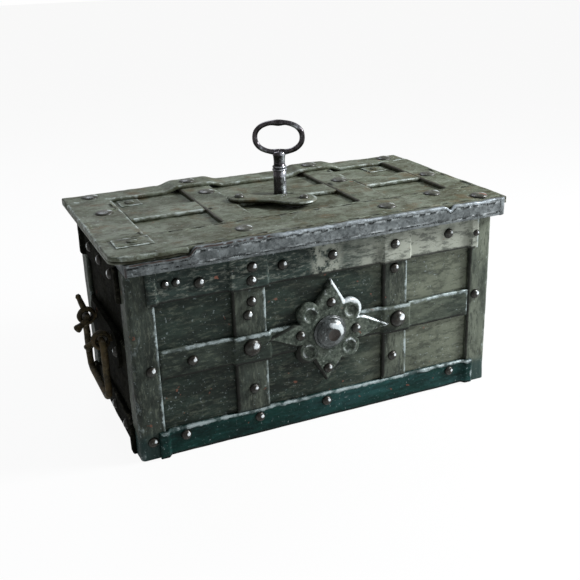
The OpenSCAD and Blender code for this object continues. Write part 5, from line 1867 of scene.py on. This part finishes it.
@dataclass
class DoorKey:
    """The key: turned stem with two collars, an oval hammered bow and a filed bit."""

    palette: Palette
    hole: Keyhole
    stem: float = 5.7
    stem_high: float = 18.0
    collar_high: float = 4.4
    neck_high: float = 11.2
    bow_wide: float = 45.0
    bow_high: float = 30.0
    bow_rod: float = 2.1
    bow_power: float = 2.25
    highlight_turn: float = 0.96
    stem_turns: int = 40
    bit_thick: float = 3.2
    bit_reach: float = 11.0
    bit_edge: float = 3.2
    bit_teeth: tuple = ((0.0, 2.4), (3.3, 5.0), (5.9, 8.0))

    def build(self) -> None:
        """Builds the key as one piece."""
        low, high = corners("key")
        base = np.array([*self.hole.axis, 0.0])
        side = X * math.cos(self.hole.turn) + Y * math.sin(self.hole.turn)
        stem = self.turned_stem(base, low[2], corners("key_plate")[1][2])
        skin = joined([stem, self.bow(base, side, high[2]), *self.bit(base, side, low[2])])
        self.palette.piece("lid_key", skin, "key", Finish.KEY, "key_steel", "key")

    def turned_stem(self, base: Array, tip: float, plate_top: float) -> Skin:
        """The stem: pin, shaft, two collars and neck, polished where fingers hold it, and paled down one side
        as a painted highlight.

        Args:
            base: foot of the key's axis.
            tip: lowest height of the key.
            plate_top: top of the plate in front of the keyhole.

        Returns:
            The skin.
        """
        r, collar = self.stem, plate_top + self.stem_high
        neck = collar + self.collar_high
        under_bow = neck + self.neck_high
        pin = [[0.01, tip], [2.6, tip + 0.1], [3.0, tip + 0.6], [3.0, tip + 3.4]]
        shaft = [
            [r - 0.4, tip + 3.5], [r, tip + 4.0], [r, plate_top - 2], [r, plate_top + 6],
            [r - 0.1, plate_top + 12], [r, collar - 0.6],
        ]  # fmt: skip
        collars = [
            [r - 0.5, collar - 0.3], [r + 0.5, collar], [r + 0.75, collar + 0.7], [r + 0.5, collar + 1.4],
            [r - 0.9, collar + 1.7], [r - 0.9, collar + 2.3], [r + 0.35, collar + 2.6],
            [r + 0.55, collar + 3.2], [r + 0.2, collar + 3.9], [r - 0.7, neck],
        ]  # fmt: skip
        top = [
            [r - 0.75, neck + 3], [r - 0.6, neck + 6], [r - 0.3, under_bow - 3], [r + 0.2, under_bow - 1],
            [r - 0.6, under_bow + 0.6], [0.01, under_bow + 1.2],
        ]  # fmt: skip
        groove, ridge = -1.0, 0.7
        collar_wear = [groove, ridge, ridge, ridge, groove, groove, ridge, ridge, ridge, groove]
        wear = np.array([0.15] * (len(pin) + len(shaft)) + collar_wear + [0.15] * len(top))[:, None]
        # Painted highlight: the stem is paled down the one side set by the turn.
        paled = np.clip(np.cos(around(self.stem_turns) + self.highlight_turn), 0, 1) ** 2.5
        profile = np.array(pin + shaft + collars + top)
        return lathe(profile, base, Z, X, wear - 0.2 + 1.3 * paled, dent=0.04, seed=330)

    def bow(self, base: Array, side: Array, top: float) -> Skin:
        """The ring of the bow: an oval whose rod is stout at the neck and swells inwards at the top.

        Args:
            base: foot of the key's axis.
            side: direction of the bow's width.
            top: greatest height of the key.

        Returns:
            The skin, its seam inside the neck.
        """
        t = np.linspace(-np.pi / 2, 1.5 * np.pi, 97)
        a, b = self.bow_wide / 2 - self.bow_rod, self.bow_high / 2 - self.bow_rod
        c, s = np.cos(t), np.sin(t)
        stretch = (np.abs(c) ** self.bow_power + np.abs(s) ** self.bow_power) ** (-1 / self.bow_power)
        centre = base + Z * (top - self.bow_high / 2)
        path = centre + (a * c * stretch)[:, None] * side + (b * s * stretch)[:, None] * Z
        at_top = np.exp(-(((t - np.pi / 2) / 0.22) ** 2))
        at_neck = np.exp(-(((t + np.pi / 2) / 0.3) ** 2)) + np.exp(-(((t - 1.5 * np.pi) / 0.3) ** 2))
        radius = self.bow_rod * (1 + 0.3 * at_top + 0.35 * at_neck + 0.12 * np.abs(c) ** 3)
        path = path - (0.5 * at_top)[:, None] * Z
        paled = 0.75 * np.exp(-(((s - c) / 0.45) ** 2))
        return tube(path, radius, paled, sides=14, dent=0.16, seed=341)

    def bit(self, base: Array, side: Array, low: float) -> list[Skin]:
        """The bit: a thick leaf at the stem and three filed teeth at its edge.

        Args:
            base: foot of the key's axis.
            side: direction in which it stands out.
            low: lowest height of the key.

        Returns:
            One skin for each part.
        """
        square = np.cross(Z, side)
        foot, leaf_end = low + 4.0, self.bit_reach - self.bit_edge
        offset, back = float(base @ side), float(base @ square) - self.bit_thick / 2
        forging = KEY_BIT.worn(0.4, 0.4, 0.4, 0.4, 350)
        blocks = [(self.stem - 1, leaf_end, 0.0, self.bit_teeth[-1][1])]
        blocks += [(leaf_end, self.bit_reach, z0, z1) for z0, z1 in self.bit_teeth]
        skins = []
        for s0, s1, z0, z1 in blocks:
            edges = (offset + s0, offset + s1, foot + z0, foot + z1)
            bar = Bar(side, Z, square, *edges, back, self.bit_thick, forging=forging)
            skins.append(bar.skin())
        return skins


@dataclass
class LidLock:
    """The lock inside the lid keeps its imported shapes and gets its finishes."""

    palette: Palette

    def build(self) -> None:
        """Dresses the lock's nodes."""
        bolts = [f"bolt_{side}" for side in ("front", "back", "left", "right")]
        self.palette.dress(Finish.LIP, "lock_carrier", "lock_pillars")
        self.palette.dress(Finish.STEEL, "bolt_guides", "lock_cover", "lock_cam", *bolts)


# ------------------------------------------------------------------ stage


@dataclass
class Studio:
    """Floor, lights and camera."""

    lens: float = 53.76
    sensor_wide: float = 36.0
    clip_from: float = 0.01
    azimuth: float = -23.215
    elevation: float = 21.252
    roll: float = -1.844
    place: tuple = (-0.2802, -0.6677, 0.3678)
    lit_point: tuple = (0.0, 0.0, 0.08)
    world_light: float = 0.17
    gloss_light: float = 0.45
    floor_glow: float = 0.93

    def build(self) -> None:
        """Sets the floor, the lights, the world and the camera."""
        self.floor()
        self.lamp("window", (0.78, -0.33, 0.6), 0.26, 14.5, "#fbfcff")
        self.lamp("skylight", (-0.12, 0.72, 1.05), 0.5, 6.0, "#eef4ff")
        self.world()
        self.camera()

    def seen(self, tree: Tree) -> tuple[Socket, Socket]:
        """Whether a ray comes from the camera or through glass, and whether it comes off a gloss.

        Args:
            tree: tree that gets the nodes.

        Returns:
            The two sockets.
        """
        path = add_node(tree, "LightPath").outputs
        straight = math_of(tree, "MAXIMUM", path["Is Camera Ray"], path["Is Transmission Ray"])
        return straight, path["Is Glossy Ray"]

    def floor(self) -> None:
        """A plain pale floor that the camera sees nearly white and that still takes the shadow."""
        half, below = 8.0, 0.0005
        mesh = bpy.data.meshes.new("studio_floor")
        square = [(-half, -half, 0), (half, -half, 0), (half, half, 0), (-half, half, 0)]
        mesh.from_pydata(square, [], [(0, 1, 2, 3)])
        floor = bpy.data.objects.new("studio_floor", mesh)
        floor.location.z = -below
        bpy.context.scene.collection.objects.link(floor)
        material = bpy.data.materials.new("pale_floor")
        tree = fresh_tree(material)
        straight, glossy = self.seen(tree)
        share = math_of(tree, "MULTIPLY", straight, self.floor_glow)
        share = math_of(tree, "MULTIPLY_ADD", glossy, self.gloss_light, share)
        paper = add_node(tree, "BsdfDiffuse", Color=linear("#f2f2f0")).outputs[0]
        glow = add_node(tree, "Emission", Color=linear("#ffffff"), Strength=1.0).outputs[0]
        mixed = add_node(tree, "MixShader", i0=share, i1=paper, i2=glow)
        add_node(tree, "OutputMaterial", Surface=mixed.outputs[0])
        mesh.materials.append(material)

    def lamp(self, name: str, place: tuple, size: float, watts: float, tint: str) -> None:
        """A square lamp that faces the object.

        Args:
            name: its name.
            place: its place in metres.
            size: side of the square in metres.
            watts: its power.
            tint: its colour.
        """
        light = bpy.data.lights.new(name, "AREA")
        light.size = size
        light.energy = watts
        light.color = linear(tint)[:3]
        lamp = bpy.data.objects.new(name, light)
        lamp.location = place
        lamp.rotation_euler = (Vector(self.lit_point) - Vector(place)).to_track_quat("-Z", "Y").to_euler()
        bpy.context.scene.collection.objects.link(lamp)

    def world(self) -> None:
        """White for the camera, a pale surround for gloss, and a plain soft light for the rest."""
        world = bpy.data.worlds.new("studio")
        tree = fresh_tree(world)
        straight, glossy = self.seen(tree)
        soft = self.world_light
        strength = math_of(tree, "MULTIPLY_ADD", straight, 1.0 - soft, soft)
        strength = math_of(tree, "MULTIPLY_ADD", glossy, self.gloss_light - soft, strength)
        back = add_node(tree, "Background", Color=linear("#ffffff"), Strength=strength)
        add_node(tree, "OutputWorld", Surface=back.outputs[0])
        bpy.context.scene.world = world

    def camera(self) -> None:
        """Camera at the fitted place, turned by azimuth, elevation and roll."""
        a, e, r = (math.radians(v) for v in (self.azimuth, self.elevation, self.roll))
        forward = Vector((-math.sin(a) * math.cos(e), math.cos(a) * math.cos(e), -math.sin(e)))
        level = forward.cross(Vector((0, 0, 1))).normalized()
        raised = level.cross(forward)
        right = math.cos(r) * level + math.sin(r) * raised
        up = -math.sin(r) * level + math.cos(r) * raised
        data = bpy.data.cameras.new("view")
        data.lens = self.lens
        data.sensor_width = self.sensor_wide
        data.clip_start = self.clip_from
        camera = bpy.data.objects.new("view", data)
        axes = Matrix((right, up, -forward)).transposed().to_4x4()
        camera.matrix_world = Matrix.Translation(self.place) @ axes
        bpy.context.scene.collection.objects.link(camera)
        bpy.context.scene.camera = camera
        bpy.context.scene.view_settings.view_transform = "Standard"


def main() -> None:
    """Builds the strongbox and its stage in order."""
    logging.basicConfig(level=logging.INFO, format="%(message)s")
    palette = Palette()
    low, high = corners("lock_cam")
    slot_turn = math.radians(-28.0)
    hole = Keyhole((low[:2] + high[:2]) / 2, slot_turn)
    Studio().build()
    Carcass(palette).build()
    RivetHeads(palette).build()
    FalseLock(palette).build()
    for side in (LEFT, RIGHT):
        DropHandle(palette, side).build()
    Lid(palette, hole).build()
    KeyPlate(palette, hole.axis).build()
    DoorKey(palette, hole).build()
    LidLock(palette).build()


if __name__ == "__main__":
    main()
